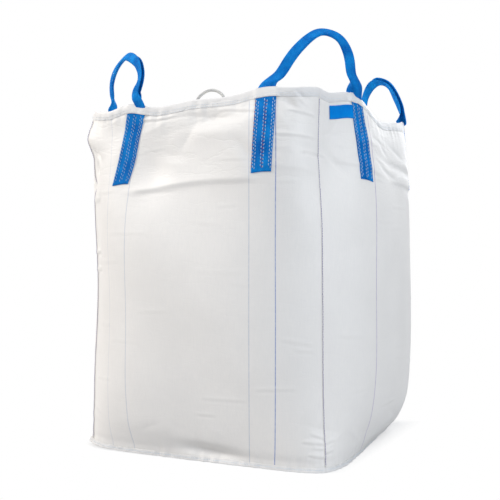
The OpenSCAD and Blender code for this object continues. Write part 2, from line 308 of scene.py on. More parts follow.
def tag_material():
    n = Nodes("blue_tag")
    u, v = n.uv()
    weave = weave_height(n, u, v, TAG_TAPE)
    patch = n.noise(n.place(), 30.0, 3.0)
    color = n.mix(n.between(patch, 0.3, 0.7), linear(0, 122, 214), linear(0, 140, 228))
    # Painted shade: the low gaps of the tag's weave are drawn darker blue, as shade falls in them.
    color = n.mix(n.between(weave, -0.5, 0.6, 0.3, 0.0), color, linear(0, 92, 178))
    normal = n.bump(weave, 0.35, 0.0003)
    return n.finish(color, normal, Roughness=0.6, Specular_IOR_Level=0.05)


def rope_material():
    n = Nodes("white_rope")
    u, v = n.uv()
    fibres = n.wave(n.plus(v, n.times(u, 0.3)), 0.0011)
    patch = n.noise(n.place(), 60.0, 4.0)
    color = n.mix(n.between(patch, 0.3, 0.7), linear(198, 198, 196), linear(222, 221, 217))
    color = n.mix(n.between(fibres, -1, 1, 0.0, 0.25), color, linear(150, 150, 150))
    normal = n.bump(fibres, 0.35, 0.0003)
    return n.finish(color, normal, Roughness=0.62, Specular_IOR_Level=0.3, Sheen_Weight=0.2)


MARK_W = 0.0030  # width of a marker tape
FAINT, BLUE, PURPLE = (176, 186, 205), (104, 128, 196), (142, 122, 182)
# Marker tapes: (distance from the middle of the side, strength, 8-bit colour)
MARKS = {
    "front": ((-0.302, 0.30, FAINT), (-0.216, 0.55, FAINT), (0.187, 0.55, FAINT), (0.268, 0.85, BLUE)),
    "right": ((-0.171, 0.75, PURPLE), (0.187, 0.5, FAINT), (0.273, 0.85, PURPLE)),
    "back": ((-0.273, 0.85, BLUE), (-0.187, 0.5, FAINT), (0.187, 0.5, FAINT), (0.273, 0.85, BLUE)),
    "left": ((-0.273, 0.85, PURPLE), (-0.187, 0.5, FAINT), (0.187, 0.5, FAINT), (0.273, 0.85, BLUE)),
}


def marker_lines(side):
    return [(BAG_W / 2 + at, MARK_W, strength, tint) for at, strength, tint in MARKS[side]]


WHITE_CLOTH = (242, 240, 237)
PANEL_CLOTH = {side: cloth_material(side + "_cloth", WHITE_CLOTH, marker_lines(side)) for side in SIDES}
PLAIN_CLOTH = cloth_material("plain_cloth", WHITE_CLOTH)
# Painted shade: the hem is the panels' white cloth drawn darker, because the band at the rim catches more
# light than the cloth below it. The base seam's lip uses the same darkened cloth.
HEM_CLOTH = cloth_material("hem_cloth", (233, 232, 231), crinkle=1.6)
SPOUT_CLOTH = cloth_material("spout_cloth", (238, 237, 235), tape=0.0022, crinkle=1.8)
WEBBING = webbing_material()
TAG_CLOTH = tag_material()
WHITE_THREAD = thread_material("white_thread", (228, 241, 252))
RED_THREAD = thread_material("red_thread", (150, 46, 98))
STRAP_THREAD = thread_material("strap_thread", (176, 206, 236))
PURPLE_THREAD = thread_material("purple_thread", (118, 100, 164))
TAG_THREAD = thread_material("tag_thread", (40, 140, 214))
ROPE = rope_material()


# ---------------------------------------------------------------- meshes
def make_mesh(name, points, faces, uvs, material):
    """uvs holds one pair for each point."""
    mesh = bpy.data.meshes.new(name)
    mesh.from_pydata(np.asarray(points, float).reshape(-1, 3).tolist(), [], faces)
    cloth_map = mesh.uv_layers.new(name="cloth")
    corner = np.zeros(len(mesh.loops), np.int32)
    mesh.loops.foreach_get("vertex_index", corner)
    pairs = np.asarray(uvs, np.float32).reshape(-1, 2)[corner]
    cloth_map.uv.foreach_set("vector", pairs.ravel())
    mesh.polygons.foreach_set("use_smooth", [True] * len(mesh.polygons))
    mesh.materials.append(material)
    mesh.validate()
    piece = bpy.data.objects.new(name, mesh)
    bpy.context.scene.collection.objects.link(piece)
    return piece


def quads(rows, cols, first=0, flip=False):
    """Faces of a grid of points whose numbers start at first."""
    i, j = np.meshgrid(np.arange(rows - 1), np.arange(cols - 1), indexing="ij")
    a = first + i * cols + j
    faces = np.stack([a, a + 1, a + cols + 1, a + cols], -1).reshape(-1, 4)
    return faces[:, ::-1] if flip else faces


def slab_faces(rows, cols):
    """Two grids of one size, one behind the other, with a wall all round their edge."""
    back = rows * cols
    edge = np.concatenate([
        np.arange(cols - 1),
        np.arange(rows - 1) * cols + cols - 1,
        (rows - 1) * cols + np.arange(cols - 1, 0, -1),
        np.arange(rows - 1, 0, -1) * cols,
    ])
    ahead = np.roll(edge, -1)
    wall = np.stack([edge, edge + back, ahead + back, ahead], -1)
    return np.concatenate([quads(rows, cols), quads(rows, cols, back, True), wall]).tolist()


def slab(name, outer, inner, uvs, material):
    """A closed layer of cloth between two grids of points."""
    rows, cols = outer.shape[:2]
    points = np.concatenate([outer.reshape(-1, 3), inner.reshape(-1, 3)])
    both = np.concatenate([np.asarray(uvs).reshape(-1, 2)] * 2)
    return make_mesh(name, points, slab_faces(rows, cols), both, material)


def normals_of(grid, closed=False):
    """Unit normals of a grid of points, from its two directions."""
    if closed:
        ring = np.concatenate([grid[:, -2:-1], grid, grid[:, 1:2]], axis=1)
        across = (ring[:, 2:] - ring[:, :-2])
    else:
        across = np.gradient(grid, axis=1)
    return unit(np.cross(across, np.gradient(grid, axis=0)))


def layer(name, mid, uvs, material, thickness):
    """A layer of cloth about a grid of points in its middle."""
    lift = normals_of(mid) * thickness / 2
    return slab(name, mid + lift, mid - lift, uvs, material)


def ring_slab(name, mid, uvs, material, thickness):
    """A layer of cloth round an axis: mid's last column repeats its first one."""
    lift = normals_of(mid, closed=True) * thickness / 2
    outer, inner = (mid + lift)[:, :-1], (mid - lift)[:, :-1]
    rows, cols = outer.shape[:2]
    count = rows * cols
    faces = []
    for i in range(rows - 1):
        for j in range(cols):
            a, b = i * cols + j, i * cols + (j + 1) % cols
            face = (a, b, b + cols, a + cols)
            faces += [face, tuple(k + count for k in reversed(face))]
    for j in range(cols):
        k, top = (j + 1) % cols, (rows - 1) * cols
        faces += [(k, j, j + count, k + count), (top + j, top + k, top + k + count, top + j + count)]
    both = np.concatenate([np.asarray(uvs)[:, :-1].reshape(-1, 2)] * 2)
    points = np.concatenate([outer.reshape(-1, 3), inner.reshape(-1, 3)])
    return make_mesh(name, points, faces, both, material)


def frames_along(line):
    """Two directions across a line of points that turn as little as they can."""
    tangents = unit(np.gradient(line, axis=0))
    side, sides = UP, []
    for t in tangents:
        side = unit(side - np.dot(side, t) * t)
        sides.append(side)
    sides = np.array(sides)
    return sides, np.cross(tangents, sides)


def tube(name, line, radius, around, material, relief):
    """A closed tube along a line. relief(along, angle) scales its radius."""
    along = distances(line)
    sides, ups = frames_along(line)
    angle = np.linspace(0, 2 * math.pi, around, endpoint=False)
    r = (radius * relief(along[:, None], angle[None, :]))[..., None]
    rings = line[:, None] + r * (np.cos(angle)[None, :, None] * sides[:, None]
                                 + np.sin(angle)[None, :, None] * ups[:, None])
    points = np.concatenate([rings.reshape(-1, 3), line[:1], line[-1:]])
    count = len(line) * around
    faces = []
    for i in range(len(line) - 1):
        for j in range(around):
            a, b = i * around + j, i * around + (j + 1) % around
            faces.append((a, b, b + around, a + around))
    for j in range(around):
        k = (j + 1) % around
        faces += [(k, j, count), (count - around + j, count - around + k, count + 1)]
    uvs = np.stack(np.broadcast_arrays(angle[None, :] * radius, along[:, None]), -1).reshape(-1, 2)
    return make_mesh(name, points, faces, np.concatenate([uvs, [[0, 0], [0, along[-1]]]]), material)


STITCH_RING = 8
# A stitch's shape: (share of its length, size, rise off the cloth)
STITCH_SHAPE = ((0.0, 0.35, -0.2), (0.16, 0.9, 0.15), (0.5, 1.0, 0.4), (0.84, 0.9, 0.15), (1.0, 0.35, -0.2))


def stitches(name, starts, ends, lifts, width, height, material):
    """Short flat lengths of thread, each from a start to an end and raised along its lift."""
    starts, ends, lifts = (np.asarray(x, float).reshape(-1, 3) for x in (starts, ends, lifts))
    along = ends - starts
    across = unit(np.cross(lifts, along))
    lifts = unit(np.cross(along, across))
    angle = np.linspace(0, 2 * math.pi, STITCH_RING, endpoint=False)
    rings = []
    for share, size, rise in STITCH_SHAPE:
        middle = starts + along * share + lifts * height * rise
        ring = (middle[:, None] + width / 2 * size * np.cos(angle)[None, :, None] * across[:, None]
                + height / 2 * size * np.sin(angle)[None, :, None] * lifts[:, None])
        rings.append(ring)
    points = np.stack(rings, 1)
    each = len(STITCH_SHAPE) * STITCH_RING
    one = []
    for i in range(len(STITCH_SHAPE) - 1):
        for j in range(STITCH_RING):
            a, b = i * STITCH_RING + j, i * STITCH_RING + (j + 1) % STITCH_RING
            one.append((a, a + STITCH_RING, b + STITCH_RING, b))
    one += [tuple(range(STITCH_RING)), tuple(range(each - 1, each - 1 - STITCH_RING, -1))]
    faces = [tuple(k + each * s for k in face) for s in range(len(starts)) for face in one]
    length = np.linalg.norm(along, axis=1)
    uvs = np.zeros((len(starts), len(STITCH_SHAPE), STITCH_RING, 2))
    uvs[..., 0] = angle * width / 2
    uvs[..., 1] = np.array([row[0] for row in STITCH_SHAPE])[None, :, None] * length[:, None, None]
    return make_mesh(name, points, faces, uvs, material)


def on_bag(piece, slot_name, *replaced):
    """A piece that keeps still on the bag, in the place of those nodes of the CAD."""
    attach(piece, "bag")
    if replaced:
        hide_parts(*replaced)
    return piece


# ---------------------------------------------------------------- the bag's surface
GIRTH_STEPS = 24
SQUARE_TABLE = np.linspace(2, 14, 500)


def unit_r(angle, square):
    return (np.cos(angle) ** square + np.abs(np.sin(angle)) ** square) ** (-1 / square)


def squareness(v):
    return (MID_SQUARE + (BASE_SQUARE - MID_SQUARE) * np.exp(-v * BAG_H / BASE_FADE)
            + (RIM_SQUARE - MID_SQUARE) * np.exp(-(1 - v) * BAG_H / RIM_FADE))


def half_side_length(square):
    a = np.linspace(0, math.pi / 4, GIRTH_STEPS + 1)
    r = unit_r(a, np.asarray(square)[..., None])
    return np.hypot(np.diff(r * np.sin(a)), np.diff(r * np.cos(a))).sum(-1)


HALF_TABLE = BAG_W / 2 / half_side_length(SQUARE_TABLE)


def half_of(square):
    """Half width of a taut section of that squareness."""
    return np.interp(square, SQUARE_TABLE, HALF_TABLE)


def half_w(v):
    return half_of(squareness(v))


LEG_ANGLE = math.atan(LEG_S / float(half_w(1)))


PULL_WIDTH = math.radians(7)  # half width of the rise of the rim at each leg


def rim_z(angle):
    pull = hill(np.abs(angle) - LEG_ANGLE, PULL_WIDTH)
    return BAG_H - RIM_SAG * np.cos(2 * angle) ** 2 + LEG_PULL * pull


# Places on the cloth are given as (side, distance across from the middle of that side, height).
def girth_place(side, across):
    return SIDES.index(side) + 0.5 + across / BAG_W


def girth(side, angle):
    """Distance round the girth in sides, from the left corner of the front side."""
    return side + (1 + np.tan(angle)) / 2


def off_girth(p, at):
    """Distance along the girth from a place, the short way round, in metres of cloth."""
    return ((p - at + 2) % 4 - 2) * BAG_W


# How the section of the filled bag's upper part differs round the girth: (side, across,
# squareness at the rim, slack inward there, depth over which both fade)
RIM_SECTION = [
    ("front", -0.45, 5.2, -0.012, 0.16), ("front", -0.24, 6.5, 0.0, 0.30), ("front", 0.0, 7.0, 0.0, 0.20),
    ("front", 0.24, 6.5, -0.004, 0.13), ("front", 0.45, 4.2, -0.025, 0.13),
    ("right", -0.24, 3.6, -0.038, 0.13), ("right", 0.0, 3.4, -0.034, 0.13),
    ("right", 0.25, 3.1, -0.022, 0.13), ("right", 0.45, 3.7, 0.010, 0.13),
    ("back", -0.24, 4.6, 0.0, 0.13), ("back", 0.0, 5.5, -0.004, 0.16), ("back", 0.45, 5.0, 0.0, 0.13),
    ("left", -0.24, 5.5, 0.0, 0.16), ("left", 0.10, 6.0, -0.006, 0.20), ("left", 0.30, 5.5, 0.0, 0.18),
]
# The same for the lower part, at the base; here the last number is the height over which the slack fades
BASE_SECTION = [
    ("front", -0.45, 6.5, -0.008, 0.12), ("front", 0.0, 9.0, 0.0, 0.08), ("front", 0.40, 8.5, 0.0, 0.06),
    ("right", -0.30, 8.0, -0.014, 0.05), ("right", 0.0, 6.5, -0.052, 0.05),
    ("right", 0.22, 4.4, -0.084, 0.055), ("right", 0.45, 3.2, -0.088, 0.06),
    ("back", -0.22, 4.4, -0.070, 0.055), ("back", 0.0, 7.5, -0.015, 0.06), ("back", 0.45, 9.0, 0.0, 0.10),
    ("left", 0.0, 9.0, 0.0, 0.12), ("left", 0.30, 8.0, 0.0, 0.12),
]
# How far the slack rim hangs below that of a new bag: (side, across, shift)
RIM_LINE = [
    ("front", -0.45, -0.029), ("front", -0.308, -0.046), ("front", -0.226, -0.036),
    ("front", -0.12, -0.036), ("front", 0.0, -0.017), ("front", 0.12, -0.020), ("front", 0.215, -0.022),
    ("front", 0.27, -0.017), ("front", 0.45, -0.008), ("right", -0.40, -0.021), ("right", -0.293, -0.012),
    ("right", -0.17, -0.029), ("right", -0.04, -0.060), ("right", 0.10, -0.045), ("right", 0.256, -0.045),
    ("right", 0.45, -0.020), ("back", -0.24, -0.010), ("back", -0.05, -0.034), ("back", 0.24, -0.012),
    ("back", 0.45, -0.016), ("left", -0.24, -0.010), ("left", 0.0, -0.036), ("left", 0.24, -0.014),
]
# Soft hollows and swellings: (side, across, height, half width, half height, slope, depth outward)
DENTS = [
    ("right", -0.38, 0.99, 0.12, 0.18, 0.0, -0.046), ("right", 0.36, 1.04, 0.11, 0.17, 0.0, -0.042),
    ("front", -0.150, 0.945, 0.075, 0.10, 0.0, -0.013), ("front", -0.45, 1.105, 0.085, 0.055, 0.0, 0.020),
    ("front", 0.062, 1.120, 0.080, 0.026, 0.10, -0.0115),
    ("front", 0.09, 1.075, 0.10, 0.030, 0.0, 0.0030),
    ("front", 0.325, 1.150, 0.026, 0.016, -0.5, -0.0060),
    ("front", 0.185, 0.985, 0.020, 0.040, -1.2, -0.0045), ("front", -0.16, 1.09, 0.10, 0.05, 0.3, 0.0030),
    ("front", -0.405, 1.045, 0.030, 0.013, -0.6, -0.0090),
    ("front", -0.400, 0.985, 0.014, 0.026, -1.0, -0.0080),
    ("front", -0.445, 0.920, 0.030, 0.026, 0.0, -0.0100),
    ("front", -0.44, 1.075, 0.05, 0.040, 0.0, 0.0040),
    ("front", 0.06, 0.036, 0.085, 0.018, -0.08, -0.0220), ("front", -0.20, 0.10, 0.16, 0.05, 0.0, 0.0030),
    ("front", 0.395, 1.00, 0.05, 0.022, -0.3, -0.0035),
    ("right", -0.345, 0.965, 0.055, 0.016, -0.75, -0.0045),
    ("right", 0.05, 1.000, 0.15, 0.018, -0.16, -0.0040), ("right", -0.10, 1.085, 0.08, 0.03, 0.2, 0.0030),
    ("right", 0.22, 0.90, 0.12, 0.02, -0.2, -0.0030), ("right", 0.30, 0.08, 0.10, 0.05, 0.3, -0.0080),
    ("right", -0.20, 0.07, 0.10, 0.04, 0.0, -0.0050), ("back", -0.10, 1.120, 0.08, 0.028, 0.1, -0.0080),
    ("back", 0.28, 1.06, 0.09, 0.02, -0.4, -0.0045), ("back", 0.05, 0.06, 0.12, 0.03, 0.0, -0.0080),
    ("back", -0.30, 0.62, 0.10, 0.03, 0.3, -0.0030), ("left", 0.08, 1.118, 0.09, 0.028, -0.1, -0.0080),
    ("left", -0.25, 1.03, 0.09, 0.02, 0.4, -0.0045), ("left", -0.10, 0.06, 0.10, 0.03, 0.0, -0.0080),
    ("left", 0.20, 0.50, 0.12, 0.04, -0.3, -0.0030),
]
# Lips where slack cloth folds down over the fill: (side, from, to, height at each end, arch, rise)
LIPS = [
    ("front", -0.20, 0.19, 0.886, 0.912, 0.010, 0.0070),
    ("front", -0.43, -0.36, 0.862, 0.870, 0.0, 0.0045),
    ("front", 0.22, 0.44, 0.955, 0.930, 0.004, 0.0020),
    ("right", -0.45, -0.12, 0.985, 0.955, 0.0, 0.0022),
    ("right", -0.02, 0.40, 0.945, 0.890, 0.010, 0.0035),
    ("back", -0.40, 0.25, 0.890, 0.925, 0.010, 0.0055),
    ("left", -0.32, 0.30, 0.905, 0.880, 0.012, 0.0055),
]
# Fine sharp creases: (side, from, to, height at each end, depth)
CREASES = [
    ("front", 0.265, 0.425, 1.052, 1.036, 0.0022), ("front", 0.315, 0.425, 1.128, 1.106, 0.0020),
    ("front", 0.36, 0.50, 0.992, 0.984, 0.0022), ("front", -0.45, -0.370, 0.672, 0.676, 0.0040),
    ("front", -0.45, -0.370, 0.612, 0.616, 0.0036), ("front", 0.29, 0.40, 0.402, 0.385, 0.0012),
    ("front", 0.33, 0.41, 0.372, 0.365, 0.0010), ("right", -0.37, -0.26, 0.412, 0.402, 0.0012),
    ("right", 0.0, 0.10, 0.345, 0.340, 0.0010), ("front", 0.10, 0.24, 1.148, 1.133, 0.0018),
    ("front", -0.20, -0.06, 1.150, 1.146, 0.0018), ("right", 0.24, 0.40, 1.075, 1.070, 0.0020),
    ("front", 0.390, 0.447, 0.114, 0.100, 0.0011), ("front", 0.362, 0.447, 0.090, 0.083, 0.0015),
    ("front", 0.400, 0.448, 0.071, 0.067, 0.0010), ("front", 0.380, 0.448, 0.050, 0.041, 0.0013),
    ("right", -0.449, -0.40, 0.082, 0.092, 0.0013), ("right", -0.449, -0.41, 0.055, 0.060, 0.0012),
    ("back", -0.44, -0.33, 0.10, 0.12, 0.0020), ("back", 0.30, 0.43, 0.70, 0.69, 0.0018),
    ("left", 0.30, 0.44, 0.66, 0.65, 0.0018), ("left", -0.44, -0.34, 0.11, 0.12, 0.0020),
]
FINE_CREASES = 90


def scattered_creases():
    """Faint short creases all over, from the cloth having been folded flat."""
    made = []
    for _ in range(FINE_CREASES):
        start, length = rng.uniform(-0.42, 0.30), rng.uniform(0.05, 0.16)
        height = rng.uniform(0.12, 1.08)
        made.append((SIDES[rng.integers(4)], start, start + length, height,
                     height + rng.uniform(-0.006, 0.006), rng.uniform(0.0003, 0.0009)))
    return made


CREASES += scattered_creases()
# Crumples: short ridges in the slack cloth under the rim and in the gathered cloth over the base:
# (place round the girth, height, direction, half length, half width, rise)
CRUMPLES = [
    (girth_place("front", -0.012), 1.065, 1.08, 0.045, 0.016, -0.0045),
    (girth_place("front", 0.170), 1.015, -0.90, 0.060, 0.016, -0.0050),
    (girth_place("front", -0.130), 1.120, 0.35, 0.050, 0.014, 0.0030),
    (girth_place("front", 0.030), 1.130, -0.14, 0.070, 0.010, -0.0045),
    (girth_place("front", -0.060), 1.010, -0.30, 0.060, 0.020, -0.0030),
    (girth_place("right", 0.060), 1.060, -0.45, 0.070, 0.012, -0.0040),
    (girth_place("right", 0.150), 1.010, -0.55, 0.080, 0.012, 0.0035),
    (girth_place("right", -0.050), 0.970, -0.35, 0.070, 0.010, -0.0030),
]
# Ranges of the same measures for random crumples: in the crushed patch under the front rim, in the
# folds beside the front leg, and all round under the rim and over the base
CRUSHED = ((girth_place("front", 0.0), girth_place("front", 0.12)), (1.105, 1.160), (-0.7, 0.7),
           (0.012, 0.030), (0.004, 0.008), (0.0012, 0.0026))
PULLED = ((girth_place("front", 0.29), girth_place("front", 0.37)), (1.135, 1.175), (-0.7, -0.3),
          (0.020, 0.040), (0.004, 0.008), (0.0014, 0.0026))
UPPER = ((0, 4), (0.96, 1.165), (-0.9, 0.9), (0.022, 0.070), (0.006, 0.020), (0.0010, 0.0030))
LOWER = ((0, 4), (0.03, 0.17), (-0.5, 0.5), (0.022, 0.070), (0.006, 0.020), (0.0010, 0.0030))
CRUSHED_COUNT, PULLED_COUNT, ALL_ROUND_COUNT, UPPER_SHARE = 12, 7, 130, 0.72


def random_crumple(ranges):
    *measures, rise = [rng.uniform(low, high) for low, high in ranges]
    return (*measures, rise * rng.choice([-1, 1]))


CRUMPLES += [random_crumple(CRUSHED) for _ in range(CRUSHED_COUNT)]
CRUMPLES += [random_crumple(PULLED) for _ in range(PULLED_COUNT)]
CRUMPLES += [random_crumple(UPPER if rng.random() < UPPER_SHARE else LOWER) for _ in range(ALL_ROUND_COUNT)]


def crumple_relief(p, z):
    total = np.zeros(np.broadcast(p, z).shape)
    for at, height, direction, long, wide, rise in CRUMPLES:
        x, y = off_girth(p, at), z - height
        along = x * math.cos(direction) + y * math.sin(direction)
        across = y * math.cos(direction) - x * math.sin(direction)
        total += rise * hill(along, long) * np.exp(-np.sqrt((across / wide) ** 2 + 0.04))
    return total


# Low waves all over: (number round the girth, change of phase with height, phase, size)
WAVES = [(int(rng.integers(1, 9)), rng.uniform(2, 13), rng.uniform(0, 2 * math.pi),
          rng.uniform(0.0006, 0.0016)) for _ in range(14)]
# Ruffles along the seams: (number round the girth, phase)
RUFFLES = [(int(rng.integers(14, 110)), rng.uniform(0, 2 * math.pi)) for _ in range(9)]


def ruffle(p, low=0):
    """Small random waves round the girth, from about -1 to 1."""
    waves = [np.sin(math.pi / 2 * count * p + phase) for count, phase in RUFFLES[low:]]
    return sum(waves) / math.sqrt(len(waves)) / 1.2


LINE_FADE = 0.22  # share of a line's length over which each end fades


def across_line(p, side, start, end, z_start, z_end, arch=0.0):
    """For a line on the cloth: the height of the line at p, and how much of it is there."""
    share = off_girth(p, girth_place(side, start)) / (end - start)
    there = smooth((share + LINE_FADE / 2) / LINE_FADE) * smooth((1 + LINE_FADE / 2 - share) / LINE_FADE)
    share = np.clip(share, 0, 1)
    return z_start + (z_end - z_start) * share + 4 * arch * share * (1 - share), there


LIP_ABOVE, LIP_BELOW = 0.055, 0.011  # a lip swells out gently above its line and ends sharply below


def relief(p, z, drop):
    """How far the cloth stands out from the smooth body, in metres."""
    total = np.zeros(np.broadcast(p, z).shape)
    for side, across, height, wide, tall, slope, depth in DENTS:
        at = off_girth(p, girth_place(side, across))
        total += depth * hill(at, wide) * hill(z - height - slope * at, tall)
    for side, start, end, z_start, z_end, arch, rise in LIPS:
        line, there = across_line(p, side, start, end, z_start, z_end, arch)
        off = z - line
        total += rise * there * np.where(off > 0, np.exp(-np.abs(off) / LIP_ABOVE), hill(off, LIP_BELOW))
    for side, start, end, z_start, z_end, depth in CREASES:
        line, there = across_line(p, side, start, end, z_start, z_end)
        off = z - line
        total += depth * there * (hill(off - 0.005, 0.006) - hill(off + 0.003, 0.004))
    body = smooth(z / 0.10) * smooth(drop / 0.10)
    for turns, rise, phase, size in WAVES:
        total += size * body * np.sin(math.pi / 2 * turns * p + phase + rise * z)
    total += crumple_relief(p, z)
    total -= 0.0015 * hill(z - 0.030, 0.013)  # the base seam draws the cloth in
    total += 0.0015 * ruffle(p) * np.exp(-np.maximum(z - 0.02, 0) / 0.035)
    total += 0.0016 * ruffle(p, 3) * np.exp(-np.maximum(drop - HEM_H, 0) / 0.030) * smooth(drop / 0.03)
    return total


GIRTH_TABLE = np.linspace(0, 4, 1601)


def round_girth(rows, column, ease):
    """A line round the girth through listed values, eased over that many metres of cloth."""
    places = [girth_place(row[0], row[1]) for row in rows]
    line = np.interp(GIRTH_TABLE, places, [row[column] for row in rows], period=4)
    reach = int(ease / BAG_W / GIRTH_TABLE[1])
    weights = np.hanning(2 * reach + 3)[1:-1]
    ring = np.concatenate([line[-reach - 1:-1], line, line[1:reach + 1]])
    return np.convolve(ring, weights / weights.sum(), "valid")


SECTION_EASE, RIM_EASE, BASE_EASE = 0.12, 0.035, 0.10
SQUARE_LINE, SLACK_LINE, FADE_LINE = (round_girth(RIM_SECTION, column, SECTION_EASE) for column in (2, 3, 4))
BASE_SQUARE_LINE, BASE_SLACK_LINE, BASE_TUCK_LINE = (
    round_girth(BASE_SECTION, column, SECTION_EASE) for column in (2, 3, 4))
SHIFT_LINE = round_girth(RIM_LINE, 2, RIM_EASE)


def at_girth(line, p):
    return np.interp(p % 4, GIRTH_TABLE, line)


# Where the base's edge curls up off the floor: (side, across, lift)
BASE_LINE = [
    ("front", -0.45, 0.012), ("front", -0.30, 0.003), ("front", 0.0, 0.0), ("front", 0.45, 0.0),
    ("right", 0.0, 0.005), ("right", 0.22, 0.012), ("right", 0.45, 0.020), ("back", -0.22, 0.010),
    ("back", 0.0, 0.0), ("back", 0.45, 0.0), ("left", 0.0, 0.0), ("left", 0.30, 0.003),
]
LIFT_LINE = round_girth(BASE_LINE, 2, BASE_EASE)
LIFT_TO = 0.30  # the lift fades out at this share of the height


def section(v, p):
    """Squareness and half width of the filled bag's own section."""
    depth = np.maximum(1 - v, 0) * BAG_H
    fade = np.exp(-depth / at_girth(FADE_LINE, p))
    low_fade = np.exp(-v * BAG_H / BASE_FADE)
    square = (MID_SQUARE + (at_girth(BASE_SQUARE_LINE, p) - MID_SQUARE) * low_fade
              + (at_girth(SQUARE_LINE, p) - MID_SQUARE) * fade)
    tuck = at_girth(BASE_SLACK_LINE, p) * np.exp(-v * BAG_H / at_girth(BASE_TUCK_LINE, p))
    return square, half_of(square) + at_girth(SLACK_LINE, p) * fade + tuck


SHIFT_FROM = 0.65  # the slack rim draws the cloth down from this share of the height


def skin(side, angle, v, out=0.0):
    """Point of the cloth: angle from the middle of the side, v up it and out off its outer face."""
    angle, v, out = np.broadcast_arrays(*(np.asarray(x, float) for x in (angle, v, out)))
    p = girth(side, angle)
    height = rim_z(angle)
    z = v * height
    drop = height - z
    proud = relief(p, z, drop) * smooth(z / 0.012)
    square, half = section(v, p)
    r = (half + out + proud) * unit_r(angle, square)
    z = z + at_girth(SHIFT_LINE, p) * smooth((v - SHIFT_FROM) / (1 - SHIFT_FROM))
    z = z + at_girth(LIFT_LINE, p) * smooth(1 - v / LIFT_TO)
    return turned(ring_point(r, angle, z), side)


def drop_v(drop):
    return 1 - np.asarray(drop, float) / BAG_H


def angle_at(across, v):
    """The angle of a place across the side, on the smooth body."""
    return np.arctan(np.asarray(across, float) / half_w(v))


COL_CROWDING, ROW_CROWDING = 0.08, 0.06


def crowded(share, crowding):
    """Shares of a length, closer together at its ends."""
    return share - crowding * np.sin(2 * math.pi * share)


def side_angles(cols):
    return np.radians(-45 + 90 * crowded(np.linspace(0, 1, cols + 1), COL_CROWDING))


def cloth_across(angle):
    """Distance of a column from the panel's left edge, in metres of cloth."""
    return (1 + np.tan(angle)) / 2 * BAG_W


# ---------------------------------------------------------------- side panels, base and top
PANEL_COLS, PANEL_ROWS = 150, 230


def make_panel(side):
    name = SIDES[side] + "_panel"
    angle, v = np.meshgrid(side_angles(PANEL_COLS), crowded(np.linspace(0, 1, PANEL_ROWS + 1), ROW_CROWDING))
    uvs = np.stack([cloth_across(angle), v * BAG_H], -1)
    outer, inner = skin(side, angle, v), skin(side, angle, v, -CLOTH_T)
    return on_bag(slab(name + "_cloth", outer, inner, uvs, PANEL_CLOTH[SIDES[side]]), "body_cloth", name)


BASE_RINGS, BASE_COLS = 24, 48


def make_base_panel():
    angles = side_angles(BASE_COLS)[:-1]
    edge = np.concatenate([skin(side, angles, 0.0, -CLOTH_T - LAYER_GAP) for side in range(4)])
    edge = np.concatenate([edge, edge[:1]])
    share = np.linspace(0.02, 1, BASE_RINGS)[:, None, None]
    mid = edge[None] * share
    r = np.linalg.norm(mid[..., :2], axis=-1)
    turn = np.arctan2(mid[..., 1], mid[..., 0])
    share = share[..., 0]
    wrinkles = 0.0012 * (1 - share) * (1 + np.sin(9 * turn + 14 * r))
    mid[..., 2] = 0.0010 + edge[None, :, 2] * share ** 6 + wrinkles
    piece = ring_slab("base_panel_cloth", mid[:, ::-1], mid[:, ::-1, :2], PLAIN_CLOTH, CLOTH_T)
    return on_bag(piece, "body_cloth", "base_panel")


TOP_DROP = 0.014  # the top panel is sewn in this far below the rim


def top_point(side, angle, share):
    """The top panel hangs from the rim to the round foot of the spout."""
    edge = skin(side, angle, drop_v(TOP_DROP), -CLOTH_T - 2 * LAYER_GAP)
    foot = turned(ring_point(SPOUT_R, angle, SPOUT_SEAT), side)
    xy = edge * (1 - share) + foot * share
    xy[..., 2] = foot[..., 2] + (edge[..., 2] - foot[..., 2]) * (1 - share[..., 0]) ** 2
    return xy


TOP_ROWS, TOP_COLS, TOP_PLEATS = 44, 90, 26


def make_top_panel():
    angles = side_angles(TOP_COLS)[:-1]
    share = np.linspace(0, 1, TOP_ROWS + 1)[:, None]
    parts, places = [], []
    for side in range(4):
        angle, s = np.broadcast_arrays(angles[None, :], share)
        parts.append(top_point(side, angle, s[..., None]))
        places.append(girth(side, angle))
    mid, p = np.concatenate(parts, 1), np.concatenate(places, 1)
    mid, p = (np.concatenate([x, x[:, :1]], 1) for x in (mid, p))
    p[:, -1] = 4
    s = np.broadcast_to(share, p.shape)
    loose = smooth(s / 0.25) * smooth((1 - s) / 0.12)
    radial = np.sin(math.pi / 2 * TOP_PLEATS * p + 3 * ruffle(p, 5))
    radial = radial * smooth((s - 0.45) / 0.5) * smooth((1 - s) / 0.05)
    round_it = np.sin(9 * s + 2.2 * np.sin(math.pi / 2 * 3 * p)) * np.sin(math.pi / 2 * 5 * p + 4 * s)
    edge = ruffle(p, 2) * np.exp(-s / 0.10) * smooth(s / 0.03)
    mid[..., 2] += 0.0045 * radial + 0.0060 * loose * round_it + 0.0035 * edge
    mid[..., 2] -= CLOTH_T / 2 + 0.0006
    piece = ring_slab("top_panel_cloth", mid[:, ::-1], mid[:, ::-1, :2], PLAIN_CLOTH, CLOTH_T)
    return on_bag(piece, "top_cloth", "top_panel")


# ---------------------------------------------------------------- seams, hems and tag
# By how much each leg (a, b) of the loops is sewn farther from the middle of its side than LEG_S, at the
# rim and at its lower end, and by how much it reaches down beyond LEG_LEN
LEG_TOP = ((0.017, 0.012), (0.045, 0.0), (0.0, 0.0), (0.0, -0.034))
LEG_LOW = ((0.018, 0.008), (0.055, 0.0), (0.0, 0.0), (0.0, 0.050))
LEG_MORE = ((-0.008, 0.005), (0.0, 0.0), (0.004, 0.0), (0.0, 0.008))


def leg_reach(k, hand):
    """How far below the rim a leg is sewn; hand 1 is leg a and -1 is leg b."""
    return LEG_LEN + LEG_MORE[k][0 if hand > 0 else 1]


def leg_panel(k, hand):
    """Number of the side that a leg is sewn to."""
    return k if hand > 0 else (k + 1) % 4


